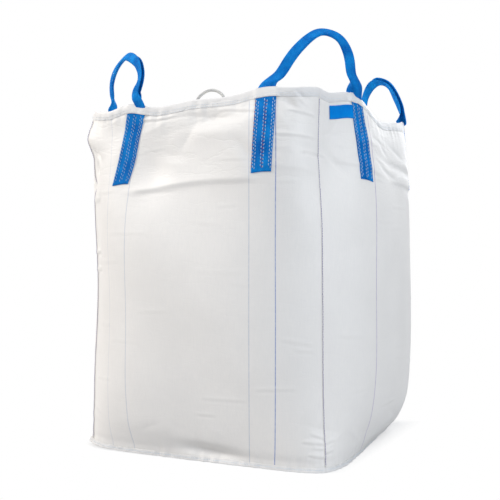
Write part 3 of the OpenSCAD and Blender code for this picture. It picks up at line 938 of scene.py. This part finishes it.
def leg_middle(k, hand, drops):
    """Distance across the side of a leg's middle line."""
    which = 0 if hand > 0 else 1
    share = np.asarray(drops) / LEG_LEN
    return hand * (LEG_S + LEG_TOP[k][which] * (1 - share) + LEG_LOW[k][which] * share)


HEM_T = 0.0006
HEM_SUNK = 0.0010  # the hem's lower edge lies this far into the cloth, so that no hard line shows
HEM_EASE = 0.014  # beside a leg the hem rises off the cloth over this width
HEM_FLAT = LAYER_GAP + 0.0006  # how far the hem's middle is off the cloth away from the legs
HEM_OVER = 2 * LAYER_GAP + WEB_T + HEM_SLACK + 0.0003  # and over them
HEM_INSIDE, HEM_INSIDE_H = -CLOTH_T - 0.0016, 0.026  # the same inside the bag, and how far it goes down
HEM_BULGE, FOLD_DROP = 0.0004, 0.003  # the fold is this much thicker and starts this far below the rim
FLAP_ROWS, FOLD_ROWS, INSIDE_ROWS, HEM_COLS = 9, 6, 4, 200


def leg_share(side, angle):
    """1 over a loop leg, 0 off it, on the rim."""
    across = np.tan(angle) * half_w(1)
    off = [np.abs(across - leg_middle(k, hand, 0)) for k, hand in ((side, 1), ((side + 3) % 4, -1))]
    return smooth((WEB_W / 2 + HEM_EASE - np.minimum(*off)) / HEM_EASE)


def eased(share, off, on):
    """Between a value off the legs and one on them."""
    return off * (1 - share) + on * share


def make_hem(side):
    """The hem folds over the rim and stands open where a leg comes out of it."""
    angles = side_angles(HEM_COLS)
    over_leg = leg_share(side, angles)
    rows = []
    for i in range(FLAP_ROWS + 1):
        drop = HEM_H + (FOLD_DROP - HEM_H) * i / FLAP_ROWS
        out = eased(over_leg, HEM_FLAT, HEM_OVER) + HEM_BULGE * smooth((HEM_H - drop) / 0.012)
        sunk = HEM_SUNK * (1 - smooth(i / 7)) * (1 - over_leg)
        rows.append((out - sunk, drop + 0 * angles))
    middle, reach = (HEM_FLAT + HEM_INSIDE) / 2, (HEM_FLAT + HEM_BULGE - HEM_INSIDE) / 2
    for i in range(1, FOLD_ROWS + 1):
        a = math.pi * i / FOLD_ROWS
        rows.append((eased(over_leg, middle + reach * math.cos(a), HEM_OVER + 0.0001),
                     eased(over_leg, FOLD_DROP - 0.0045 * math.sin(a), FOLD_DROP - 0.0006 * i)))
    for i in range(1, INSIDE_ROWS + 1):
        drop = FOLD_DROP + (HEM_INSIDE_H - FOLD_DROP) * i / INSIDE_ROWS
        rows.append((eased(over_leg, HEM_INSIDE, HEM_OVER + 0.0001),
                     eased(over_leg, drop, -0.0006 - 0.0003 * i)))
    outs, drops = (np.array(column) for column in zip(*rows))
    uvs = np.stack([np.broadcast_to(cloth_across(angles), outs.shape), drops + outs], -1)
    name = "hem_" + SIDES[side]
    piece = layer(name + "_cloth", skin(side, angles[None, :], drop_v(drops), outs), uvs, HEM_CLOTH, HEM_T)
    make_hem_stitches(side)
    return on_bag(piece, "hem_cloth", name)


def row_between(side, begin, end, outs):
    """Starts, ends and lifts of a row of stitches between places (angle, v), each so far off the cloth."""
    starts, ends = (skin(side, *place, out) for place, out in zip((begin, end), outs))
    return starts, ends, unit(skin(side, *begin, outs[0] + 0.01) - starts)


def stitch_row(side, across, drops, out, jitter):
    """Starts, ends and lifts of a row of stitches that runs down the cloth."""
    v0, v1 = drop_v(drops[:, 0]), drop_v(drops[:, 1])
    wander = rng.normal(0, 1, (2, len(drops))) * jitter
    a0, a1 = angle_at(across + wander[0], v0), angle_at(across + wander[1], v1)
    return row_between(side, (a0, v0), (a1, v1), (out, out))


# Width and height of each thread's stitches
HEM_STITCH, SEAM_STITCH, TAG_STITCH = (0.0009, 0.0005), (0.0014, 0.0009), (0.0010, 0.0008)
CORNER_STITCH, STRAP_STITCH, RED_STITCH = (0.0019, 0.0013), (0.0025, 0.0013), (0.0018, 0.0011)


def stitched(name, rows, size, material):
    """One piece for all the stitches in some rows."""
    starts, ends, lifts = (np.concatenate(column) for column in zip(*rows))
    on_bag(stitches(name, starts, ends, lifts, *size, material), "thread")


SEAM_END = 0.012  # a level row of stitches ends this far from the corners


def angles_along(pitch, length):
    """Angles at which the stitches of a level row on the whole width of a side start and end."""
    first = np.arange(-BAG_W / 2 + SEAM_END, BAG_W / 2 - SEAM_END, pitch)
    return [np.arctan(across / (BAG_W / 2)) for across in (first, first + length)]


def make_hem_stitches(side):
    angles, rows = angles_along(pitch=0.0085, length=0.0062), []
    outs = [eased(leg_share(side, a), HEM_FLAT, HEM_OVER) + 0.0007 for a in angles]
    for drop in (HEM_H - 0.005, HEM_H - 0.012):
        rows.append(row_between(side, *((a, drop_v(drop)) for a in angles), outs))
    stitched(f"hem_{SIDES[side]}_stitches", rows, HEM_STITCH, WHITE_THREAD)


def corner_point(side, x, v, out):
    """Point near the corner between a side and the next one; x is the distance across it."""
    angle = math.pi / 4 - np.abs(x) / norm_at_corner(v)
    here = skin(side, angle, v, out)
    there = skin((side + 1) % 4, -angle, v, out)
    return np.where((np.asarray(x) < 0)[..., None], here, there)


def norm_at_corner(v):
    return half_w(v) * unit_r(math.pi / 4, squareness(v))


WELT_SHAPE = (-1.0, -0.75, -0.4, 0.0001, 0.4, 0.75, 1.0)  # shares of the welt's half width
WELT_ROWS = 180


def make_corner_seam(side):
    """A low sewn welt down a corner, with its row of purple stitches."""
    drops = np.linspace(BAG_H - FLANGE_H - 0.002, HEM_H + 0.001, WELT_ROWS)
    share = np.array(WELT_SHAPE)[None, :]
    height = LAYER_GAP + BEAD_T * np.sqrt(1 - share ** 2) + 0.0002 * np.sin(drops * 900)[:, None]
    x, v = np.broadcast_arrays(share * BEAD_W / 2, drop_v(drops)[:, None])
    outer = corner_point(side, x, v, height)
    inner = corner_point(side, x, v, LAYER_GAP / 2)
    uvs = np.stack([x, v * BAG_H], -1)
    name = "corner_seam_" + SIDES[side]
    on_bag(slab(name + "_welt", outer, inner, uvs, PLAIN_CLOTH), "body_cloth", name)
    pitch, length = 0.0078, 0.0072
    start = np.arange(HEM_H + 0.003, BAG_H - FLANGE_H - 0.01, pitch)
    wander = rng.normal(0, 0.00025, len(start)) + 0.0004
    out = LAYER_GAP + BEAD_T + 0.0003
    starts = corner_point(side, wander, drop_v(start), out)
    ends = corner_point(side, wander, drop_v(start + length), out)
    stitched(name + "_thread", [(starts, ends, unit(starts * [1, 1, 0]))], CORNER_STITCH, PURPLE_THREAD)


LIP_COLS, LIP_ROWS = 220, 8
SEAM_AT = 0.62  # the base seam's stitches are at this share of the lip's height


def make_base_seam(side):
    """The seam flange round the base, folded and a little ruffled."""
    angles = side_angles(LIP_COLS)
    share = np.linspace(0, 1, LIP_ROWS)[:, None]
    p = girth(side, angles)
    out = (FLANGE_OUT * (1 - share) ** 1.3 + LAYER_GAP + FLANGE_T / 2
           + 0.0022 * (ruffle(p, 1)[None, :]) * (1 - share) * smooth((1 - share) / 0.4)
           + 0.0008 * ruffle(p, 4)[None, :] * share)
    heights = FLANGE_H * share + 0.0008 + 0 * out
    heights = heights + 0.0016 * ruffle(p, 2)[None, :] * share
    mid = skin(side, angles[None, :], heights / BAG_H, np.maximum(out, 0.0012))
    uvs = np.stack([np.broadcast_to(cloth_across(angles), out.shape), heights], -1)
    name = "base_seam_" + SIDES[side]
    on_bag(layer(name + "_lip", mid, uvs, HEM_CLOTH, FLANGE_T), "body_cloth", name)
    ends = angles_along(pitch=0.0075, length=0.0052)
    outs = [np.interp(a, angles, out[int(SEAM_AT * LIP_ROWS)]) + FLANGE_T / 2 + 0.0004 for a in ends]
    row = row_between(side, *((a, SEAM_AT * FLANGE_H / BAG_H) for a in ends), outs)
    stitched(name + "_stitches", [row], SEAM_STITCH, WHITE_THREAD)


TAG_UNDER = 0.008  # the tag's end runs this far under the edge of the strap


def make_tag():
    right = -(LEG_S + WEB_W / 2) + TAG_UNDER
    across = np.linspace(right - TAG_W - TAG_UNDER, right, 40)[None, :]
    drops = np.linspace(TAG_DROP + TAG_H, TAG_DROP, 16)[:, None]
    v = drop_v(drops)
    tuck = smooth((across - (right - TAG_UNDER - 0.006)) / 0.006)
    curl = 0.0009 * np.sin(across * 60) * smooth((drops - TAG_DROP) / TAG_H) * (1 - tuck)
    out = LAYER_GAP + 0.0007 * (1 - tuck) + np.maximum(curl, 0)
    angle = angle_at(across, v)
    uvs = np.stack(np.broadcast_arrays(across, -drops), -1)
    piece = slab("blank_tag_cloth", skin(1, angle, v, out + TAG_T * (1 - 0.6 * tuck)),
                 skin(1, angle, v, out - 0.0002), uvs, TAG_CLOTH)
    on_bag(piece, "tag", "blank_tag")
    pitch, length, edge = 0.0070, 0.0048, 0.004
    left = right - TAG_W - TAG_UNDER
    start = np.arange(left + edge, right - TAG_UNDER - 0.010, pitch)
    rows = []
    for drop in (TAG_DROP + edge, TAG_DROP + TAG_H - edge):
        v = drop_v(drop)
        ends = [(angle_at(across, v), v) for across in (start, start + length)]
        rows.append(row_between(1, *ends, [LAYER_GAP + 0.0007 + TAG_T + 0.0010] * 2))
    stitched("blank_tag_stitches", rows, TAG_STITCH, TAG_THREAD)


# ---------------------------------------------------------------- lifting loops
# As in the CAD: how far each leg leans along the chord and outward at the flex line
LEG_SHIFT = ((0.050, 0.020), (0.012, 0.030), (0.015, 0.015), (0.005, 0.005))
LEG_SWING = ((0, 0), (0, 0), (0, 0), (0.018, -0.034))
# Middle lines of the arches: along the chord from its middle, outward from the chord, and height
ARCH_LINES = (
    ((-0.142, 0.002, 1.214), (-0.117, 0.002, 1.244), (-0.095, 0, 1.280), (-0.0635, 0, 1.320),
     (-0.0187, 0, 1.362), (0.0214, 0, 1.3825), (0.0777, 0, 1.3695), (0.106, 0, 1.333),
     (0.117, 0.002, 1.295), (0.117, 0.008, 1.256), (0.128, 0.014, 1.222)),
    ((-0.150, 0.010, 1.190), (-0.147, 0.006, 1.216), (-0.118, 0, 1.267), (-0.062, 0, 1.322),
     (0.02, 0, 1.353), (0.080, 0, 1.348), (0.133, 0, 1.309), (0.148, 0, 1.26), (0.152, 0, 1.228)),
    ((-0.152, 0.004, 1.228), (-0.150, 0.012, 1.262), (-0.128, 0.034, 1.292), (-0.070, 0.066, 1.312),
     (0.0, 0.080, 1.320), (0.074, 0.064, 1.310), (0.130, 0.034, 1.292), (0.150, 0.012, 1.262),
     (0.153, 0.004, 1.228)),
    ((-0.146, -0.010, 1.222), (-0.130, -0.004, 1.250), (-0.128, 0, 1.292), (-0.095, 0, 1.3305),
     (-0.020, 0, 1.360), (0.041, 0, 1.365), (0.130, 0, 1.330), (0.177, 0.004, 1.2805),
     (0.192, 0.016, 1.240), (0.178, 0.026, 1.214)),
)
BACK_LEAN = 68  # the back loop flops outward by this many degrees in the CAD
ARCH_LEAN = (0, 0, BACK_LEAN, 0)
# How far one half of the webbing lies down on the other as it folds, on leg a, at the top and on
# leg b (1 is flat down, 0 is both halves turned alike), and how far the fold stands open, in degrees
BAND_LAY = ((0.72, 0.40, 0.95), (1.0, 0.50, 1.0), (1.0, 0.6, 1.0), (0.95, 0.50, 0.95))
FOLD_OPEN = ((8, 8, 8), (6, 6, 6), (8, 8, 8), (4, 5, 4))
ACROSS = np.linspace(-1, 1, 25)
CENTRE = len(ACROSS) // 2  # number of the webbing's middle column
FOLD_BEND = 0.11  # share of half the webbing's width in which its fold bends

# Along the chord from leg a to leg b, and outward across it, for the loop at the front right corner
CHORD, OUTWARD = np.array([1.0, 1.0, 0]) / math.sqrt(2), np.array([1.0, -1.0, 0]) / math.sqrt(2)


def foot_of(hand):
    """Where a leg leaves the rim, on the front side; hand -1 is the left leg."""
    r = (half_w(1) + LAYER_GAP + WEB_T / 2) * unit_r(LEG_ANGLE, squareness(1.0))
    return ring_point(r, hand * LEG_ANGLE, 0.0)


def flex_points(k):
    a = foot_of(1) + CHORD * LEG_SHIFT[k][0] + OUTWARD * LEG_SWING[k][0]
    b = turned(foot_of(-1), 1) - CHORD * LEG_SHIFT[k][1] + OUTWARD * LEG_SWING[k][1]
    return a + UP * FLEX_Z, b + UP * FLEX_Z


def arch_line(k, steps):
    """Middle line of an arch and the direction across its plane, on the front side."""
    a, b = flex_points(k)
    along = unit(b - a)
    out = np.cross(along, UP)
    x, y, z = spline(ARCH_LINES[k], steps).T[:, :, None]
    lean = math.radians(ARCH_LEAN[k])
    up = UP * math.cos(lean) + out * math.sin(lean)
    return (a + b) / 2 * [1, 1, 0] + x * along + y * out + z * UP, np.cross(along, up)


def fold_section(opening):
    """Across and fold offsets of the webbing's section, for a fold that stands open by that angle."""
    x = np.linspace(-1, 1, 161)
    middle = len(x) // 2
    bend = (math.pi / 2 - opening) * np.tanh(x / FOLD_BEND)
    dx = (x[1] - x[0]) * WEB_W / 2
    offsets = []
    for way in (np.cos(bend), np.sin(bend)):
        total = np.concatenate([[0], np.cumsum((way[1:] + way[:-1]) / 2 * dx)])
        offsets.append(np.interp(ACROSS, x, total - total[middle]))
    return offsets


def smoothed(line, passes):
    """A line of points with its kinks eased, its ends kept."""
    for _ in range(passes):
        line = np.concatenate([line[:1], (line[:-2] + 2 * line[1:-1] + line[2:]) / 4, line[-1:]])
    return line


def evenly(line, step):
    """Points at even steps along a line of points."""
    along = distances(line)
    at = np.linspace(0, along[-1], max(8, int(round(along[-1] / step))))
    return np.stack([np.interp(at, along, line[:, i]) for i in range(3)], 1)


SEWN_ROWS = 58


def sewn_rows(k, hand):
    """Rows of a leg's webbing on its panel, from its lower end up to the rim."""
    side = leg_panel(k, hand)
    drops = np.linspace(leg_reach(k, hand), 0.0, SEWN_ROWS)
    v = drop_v(drops)[:, None]
    across = leg_middle(k, hand, drops)[:, None] + ACROSS[None, :] * WEB_W / 2
    grid = skin(side, angle_at(across, v), v, LAYER_GAP + WEB_T / 2 + 0.0001)
    return grid if hand > 0 else grid[::-1, ::-1]


LOOP_STEP = 0.0045  # distance between rows of the free webbing


def loop_rows(k):
    """Rows of the webbing from one rim foot, over the arch, to the other foot."""
    line, across_plane = (turned(x, k) for x in arch_line(k, 90))
    leg_a, leg_b = sewn_rows(k, 1), sewn_rows(k, -1)
    whole = np.concatenate([leg_a[-3:, CENTRE], line, leg_b[:3, CENTRE]])
    whole = evenly(smoothed(evenly(whole, 0.006), 10), LOOP_STEP)
    tangents = unit(np.gradient(whole, axis=0))
    share = np.linspace(0, 1, len(whole))
    # The webbing's width starts along each panel's rim and ends across the arch's plane.
    width_a, width_b = unit(leg_a[-1][-1] - leg_a[-1][0]), unit(leg_b[0][-1] - leg_b[0][0])
    return whole, tangents, share, width_a, width_b, across_plane


def turn_about(v, axis, angle):
    """Vectors turned about their axes."""
    c, s = np.cos(angle)[:, None], np.sin(angle)[:, None]
    return v * c + np.cross(axis, v) * s + axis * (axis * v).sum(-1, keepdims=True) * (1 - c)


def three_way(share, values):
    """A value that goes smoothly through three others along the loop."""
    first, top, last = values
    low = first + (top - first) * smooth((share - 0.22) / 0.28)
    high = top + (last - top) * smooth((share - 0.5) / 0.28)
    return np.where(share < 0.5, low, high)


FREE_FOLD = (0.120, 0.090, 0.090, 0.090)  # length over which each loop's webbing turns above the rim
FOLD_SOON = 0.65  # it has folded within this share of that length
# Where sewn and free rows meet: free rows left out, rows that are smoothed, and how often
JOIN_CUT, JOIN_ROWS, JOIN_PASSES = 3, 12, 5


def make_strap(k):
    whole, tangents, share, width_a, width_b, across_plane = loop_rows(k)
    length = distances(whole)
    from_rim = np.minimum(length, length[-1] - length)
    folded = smooth(from_rim / FREE_FOLD[k])
    reach = np.clip(from_rim / (FOLD_SOON * FREE_FOLD[k]), 0, 1)
    narrowed = (smooth(reach) + reach) / 2
    # Spread is the direction in which the two halves stand apart; it starts along the rim.
    radial = unit(np.cross(tangents, across_plane))
    ends = np.where((share < 0.5)[:, None], width_a, width_b)
    spread = ends * (1 - folded)[:, None] + radial * folded[:, None]
    spread = unit(spread - (spread * tangents).sum(-1, keepdims=True) * tangents)
    opening = np.arcsin(1 + (np.sin(np.radians(three_way(share, FOLD_OPEN[k]))) - 1) * narrowed)
    spread = turn_about(spread, tangents, (math.pi / 2 - opening) * three_way(share, BAND_LAY[k]))
    inward = np.cross(tangents, spread)
    rows = []
    for i in range(len(whole)):
        w, f = fold_section(opening[i])
        f = f - f.max() / 2
        rows.append(whole[i] + w[:, None] * spread[i] + f[:, None] * inward[i])
    rows = np.array(rows)
    leg_a, leg_b = sewn_rows(k, 1), sewn_rows(k, -1)
    grid = np.concatenate([leg_a[:-1], rows[JOIN_CUT:-JOIN_CUT], leg_b[1:]])
    near_rim = np.zeros((len(grid), 1, 1))
    lo, hi = len(leg_a) - JOIN_CUT, len(grid) - len(leg_b) + JOIN_CUT
    near_rim[lo:lo + JOIN_ROWS] = near_rim[hi - JOIN_ROWS:hi] = 1
    for _ in range(JOIN_PASSES):
        grid = grid + (smoothed(grid, 1) - grid) * near_rim
    uvs = np.stack(np.broadcast_arrays(ACROSS[None, :] * WEB_W / 2, distances(grid[:, CENTRE])[:, None]), -1)
    name = SIDES[k] + "_loop"
    piece = layer(name + "_webbing", grid, uvs, WEBBING, WEB_T)
    a, b = (turned(x, k) for x in flex_points(k))
    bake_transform(piece)
    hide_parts(name, name + "_leg_a", name + "_leg_b")
    make_leg_stitches(k)


# Rows of stitches down a leg: distances from its middle line
STITCH_ROWS = (-0.0310, -0.0245, -0.0040, 0.0045, 0.0245, 0.0310)
RED_ROWS = (-0.0342, 0.0002)  # only on the front loop


def make_leg_stitches(k):
    pitch, length, margin = 0.0120, 0.0076, 0.008
    white, red = [], []
    for hand in (1, -1):
        last = leg_reach(k, hand) - margin - length
        for number, across in enumerate(STITCH_ROWS + (RED_ROWS if k == 0 and hand > 0 else ())):
            start = np.arange(HEM_H + 0.004 + pitch / 2 * (number % 2), last, pitch) + rng.uniform(0, 0.002)
            drops = np.stack([start, start + length], 1)
            row = stitch_row(leg_panel(k, hand), leg_middle(k, hand, start) + across, drops,
                             LAYER_GAP + WEB_T + 0.0006, 0.0006)
            (white if across in STITCH_ROWS else red).append(row)
    stitched(SIDES[k] + "_loop_white_stitches", white, STRAP_STITCH, STRAP_THREAD)
    if red:
        stitched(SIDES[k] + "_loop_red_stitches", red, RED_STITCH, RED_THREAD)


# ---------------------------------------------------------------- filling spout
PLEATS = 24
SPOUT_COLS, SPOUT_ROWS = 480, 150


def make_spout():
    """One gathered tube: sewn foot, cone, tied neck, and the end that flops back over."""
    profile = [
        (SPOUT_R + SPOUT_MARGIN, 0.0006), (SPOUT_R, 0.0014), (0.160, 0.006), (0.125, 0.0155),
        (0.098, 0.026), (0.075, 0.0395), (0.052, 0.050), (NECK_R + 0.008, NECK_RISE - 0.002),
        (NECK_R - 0.004, NECK_RISE + 0.006), (NECK_R - 0.005, NECK_RISE + 0.016),
        (NECK_R - 0.003, NECK_TOP - 0.002), (NECK_R + 0.010, NECK_TOP + 0.010),
        (NECK_R + 0.038, NECK_TOP + 0.017), (NECK_R + 0.066, NECK_TOP + 0.013),
        (NECK_R + 0.090, NECK_TOP - 0.004),
    ]
    rows = spline(profile, SPOUT_ROWS)
    turn = np.linspace(0, 2 * math.pi, SPOUT_COLS + 1)[None, :]
    r, z = rows[:, :1], rows[:, 1:]
    step = np.linspace(0, 1, len(rows))[:, None]
    wobble = 0.35 * np.sin(3 * turn + 1) + 0.25 * np.sin(5 * turn + 2.2) + 0.18 * np.sin(8 * turn)
    pleat = np.sin(PLEATS * turn + 2.5 * wobble)
    pleat = np.sign(pleat) * np.abs(pleat) ** 0.8
    fine = np.sin(2.5 * PLEATS * turn + 3 * wobble + 6 * step)
    cone = smooth((step - 0.06) / 0.25) * smooth((0.52 - step) / 0.06)
    neck = smooth((step - 0.48) / 0.06) * smooth((0.80 - step) / 0.08)
    flop = smooth((step - 0.74) / 0.26)
    ruffles = np.sin(9 * turn + 2 * wobble) + 0.5 * np.sin(17 * turn + 1.3 + 2 * wobble)
    lift = (0.0065 * cone * np.minimum(1, r / 0.05) * pleat + 0.0022 * cone * fine
            + 0.0022 * neck * pleat + 0.010 * flop * ruffles + 0.004 * flop * pleat * (1 - flop))
    slope = unit(np.gradient(rows, axis=0))
    out_r, out_z = slope[:, 1:], -slope[:, :1]
    radius = r + lift * out_r * np.where(flop > 0, 0.5, 1) + 0.007 * flop * np.sin(2 * turn + 0.7)
    mid = ring_point(radius, turn, z + lift * out_z + SPOUT_SEAT)
    mid[..., 0] += 0.006 * smooth((step - 0.70) / 0.3)
    uvs = np.stack(np.broadcast_arrays(turn * SPOUT_R, step * 0.32), -1)
    piece = ring_slab("filling_spout_cloth", mid, uvs, SPOUT_CLOTH, 0.0007)
    pitch, length, rise = 0.0085, 0.0060, 0.0020
    turns = np.arange(0, 2 * math.pi, pitch / SPOUT_R)
    starts, ends = (ring_point(SPOUT_R + SPOUT_MARGIN / 2, t, SPOUT_SEAT + rise)
                    for t in (turns, turns + length / SPOUT_R))
    lifts = np.tile(UP, (len(turns), 1))
    stitched("filling_spout_stitches", [(starts, ends, lifts)], SEAM_STITCH, WHITE_THREAD)
    return on_bag(piece, "top_cloth", "filling_spout")


# ---------------------------------------------------------------- tie cord
# The free stretch's route, as in the CAD: metres, with heights above the spout's seat
CORD_ROUTE = [
    (-0.043, 0, 0.074), (-0.046, -0.040, 0.068), (-0.058, -0.080, 0.054), (-0.072, -0.125, 0.028),
    (-0.092, -0.170, 0.013), (-0.114, -0.212, 0.010), (-0.130, -0.255, 0.013), (-0.130, -0.292, 0.020),
    (-0.114, -0.320, 0.030), (-0.092, -0.332, 0.050), (-0.076, -0.334, 0.078), (-0.056, -0.332, 0.103),
    (-0.020, -0.330, 0.116), (0.016, -0.330, 0.104), (0.036, -0.330, 0.078), (0.050, -0.328, 0.050),
    (0.072, -0.318, 0.028), (0.104, -0.298, 0.018), (0.134, -0.270, 0.014), (0.152, -0.235, 0.010),
    (0.158, -0.204, 0.010),
]
WRAP_R = NECK_R + LAYER_GAP + CORD_D / 2
WRAP_LOW = NECK_RISE + 0.004 + CORD_D / 2
PULLED_R = CORD_D * 0.46  # the cord's radius where the knot pulls it thin


def braid(along, angle):
    """Relief of a braided cover: strands that cross over and under each other."""
    strands, lay = 6, 0.030
    round_it, on_it = strands * angle / 2, math.pi * strands * along / lay
    crown = np.maximum(np.abs(np.sin(round_it + on_it)), np.abs(np.sin(round_it - on_it)))
    return 0.92 + 0.09 * crown ** 2


def make_cord():
    route = spline(CORD_ROUTE, 24 * (len(CORD_ROUTE) - 1) + 1)
    turn = np.linspace(-2 * math.pi * (CORD_TURNS - 0.5), math.pi, 60 * CORD_TURNS)
    off = -CORD_ROUTE[0][0] - WRAP_R
    leave = smooth((turn - math.pi / 2) / (math.pi / 2))
    r = WRAP_R + off * leave
    rise = (CORD_TURNS - 1) * CORD_D * (1 - smooth((turn - turn[0]) / (turn[-1] - turn[0]) * 1.15))
    z = WRAP_LOW + rise + (CORD_ROUTE[0][2] - WRAP_LOW) * leave
    wraps = np.stack([r * np.cos(turn), r * np.sin(turn), z], -1)
    line = np.concatenate([wraps[:-1], route]) + [0, 0, SPOUT_SEAT]
    line = evenly(smoothed(evenly(line, 0.003), 3), 0.0016)
    cord = on_bag(tube("tie_cord_rope", line, CORD_D / 2, 24, ROPE, braid), "cord", "tie_cord", "tie_wraps")
    tip = line[-1]
    middle = tip + [0.001, KNOT_R + LAYER_GAP, KNOT_R + LAYER_GAP + 0.001 - CORD_ROUTE[-1][2]]
    t = np.linspace(0, 2 * math.pi, 220)
    size = (KNOT_R - CORD_D / 2) / 3
    trefoil = [np.sin(t) + 2 * np.sin(2 * t), np.cos(t) - 2 * np.cos(2 * t), -2.1 * np.sin(3 * t)]
    knot_line = middle + np.stack(trefoil, -1) * size
    tail = np.stack([middle[0] + 0.006 * np.ones(20), middle[1] + np.linspace(0, 0.032, 20),
                     middle[2] + 0.004 - np.linspace(0, 1, 20) ** 2 * 0.012], -1)
    knot = on_bag(tube("tie_knot_rope", knot_line[:-1], PULLED_R, 20, ROPE, braid), "cord", "tie_knot")
    end = on_bag(tube("tie_knot_tail", tail, PULLED_R, 20, ROPE, braid), "cord")


# The cord comes first, then the cloth that it lies on.
make_cord()
panels = [make_panel(side) for side in range(4)]
hems = [make_hem(side) for side in range(4)]
for side in range(4):
    make_base_seam(side)
for corner in range(4):
    make_corner_seam(corner)
base_panel = make_base_panel()
top_panel = make_top_panel()
spout = make_spout()
make_tag()
for loop in range(4):
    make_strap(loop)


# ---------------------------------------------------------------- floor and light
# The floor fades to plain white between these distances from the axis, along each side of the bag
FLOOR_SIZE, FADE_FROM, FADE_TO = 40.0, 0.34, 0.50
FLOOR_BOUNCE = 0.45  # the floor lights the bag less than it shows, as a dull yard would


def make_floor():
    half = FLOOR_SIZE / 2
    corners = [(-half, -half, 0), (half, -half, 0), (half, half, 0), (-half, half, 0)]
    n = Nodes("pale_floor")
    x, y, _ = n.split(n.add("TexCoord", out=3))
    far = n.math("MAXIMUM", n.math("ABSOLUTE", x), n.math("ABSOLUTE", y))
    fade = n.between(far, FADE_FROM, FADE_TO)
    grain = n.noise(n.place(), 6.0, 3.0)
    color = n.mix(n.between(grain, 0.3, 0.7), linear(250, 250, 250), linear(253, 253, 253))
    bounce = n.add("LightPath", out=2)
    dull = [FLOOR_BOUNCE, FLOOR_BOUNCE, FLOOR_BOUNCE * 1.02, 1]
    n.finish(n.mix(bounce, color, dull), Roughness=0.8)
    white = n.tree.nodes.new("ShaderNodeEmission")
    seen = n.times(n.add("LightPath", out=0), fade)
    join = n.tree.nodes.new("ShaderNodeMixShader")
    n.set(join.inputs[0], seen)
    n.set(join.inputs[1], n.shader.outputs[0])
    n.set(join.inputs[2], white.outputs[0])
    n.set(n.tree.nodes["Material Output"].inputs[0], join.outputs[0])
    mesh = bpy.data.meshes.new("floor")
    mesh.from_pydata(corners, [], [(0, 1, 2, 3)])
    mesh.materials.append(n.material)
    floor = bpy.data.objects.new("floor", mesh)
    bpy.context.scene.collection.objects.link(floor)


def make_world(level):
    """Even grey light all round, and plain white where the camera or a gloss sees past the floor."""
    world = bpy.data.worlds.new("studio")
    bpy.context.scene.world = world
    world.use_nodes = True
    tree = world.node_tree
    path = tree.nodes.new("ShaderNodeLightPath")
    either = tree.nodes.new("ShaderNodeMath")
    either.operation = "MAXIMUM"
    tree.links.new(path.outputs["Is Camera Ray"], either.inputs[0])
    tree.links.new(path.outputs["Is Glossy Ray"], either.inputs[1])
    soft, white = tree.nodes["Background"], tree.nodes.new("ShaderNodeBackground")
    soft.inputs[0].default_value, soft.inputs[1].default_value = (0.96, 0.98, 1.0, 1), level
    white.inputs[0].default_value, white.inputs[1].default_value = (1, 1, 1, 1), 1.0
    join = tree.nodes.new("ShaderNodeMixShader")
    tree.links.new(either.outputs[0], join.inputs[0])
    tree.links.new(soft.outputs[0], join.inputs[1])
    tree.links.new(white.outputs[0], join.inputs[2])
    tree.links.new(join.outputs[0], tree.nodes["World Output"].inputs[0])


def make_light(name, place, aim, size, power, color):
    light = bpy.data.lights.new(name, "AREA")
    light.shape, light.size, light.energy, light.color = "DISK", size, power, color
    lamp = bpy.data.objects.new(name, light)
    bpy.context.scene.collection.objects.link(lamp)
    lamp.location = place
    lamp.rotation_euler = (Vector(aim) - Vector(place)).to_track_quat("-Z", "Y").to_euler()


SKY_LEVEL = 0.42
# Round lamps: (name, place, aim, width, watts, colour)
LAMPS = (
    ("key", (-3.7, -2.3, 2.9), (0, 0, 0.8), 1.6, 146, (1.0, 0.945, 0.89)),
    ("fill", (4.0, -2.4, 2.2), (0, 0, 0.7), 2.2, 92, (0.86, 0.92, 1.0)),
    ("top", (0.2, -0.6, 4.6), (0, 0, 1.0), 1.8, 46, (1, 1, 1)),
    ("back", (0.6, 4.4, 2.6), (0, 0, 0.8), 2.4, 70, (0.95, 0.97, 1.0)),
)
make_floor()
make_world(SKY_LEVEL)
for lamp in LAMPS:
    make_light(*lamp)
bpy.context.scene.view_settings.view_transform = "Standard"
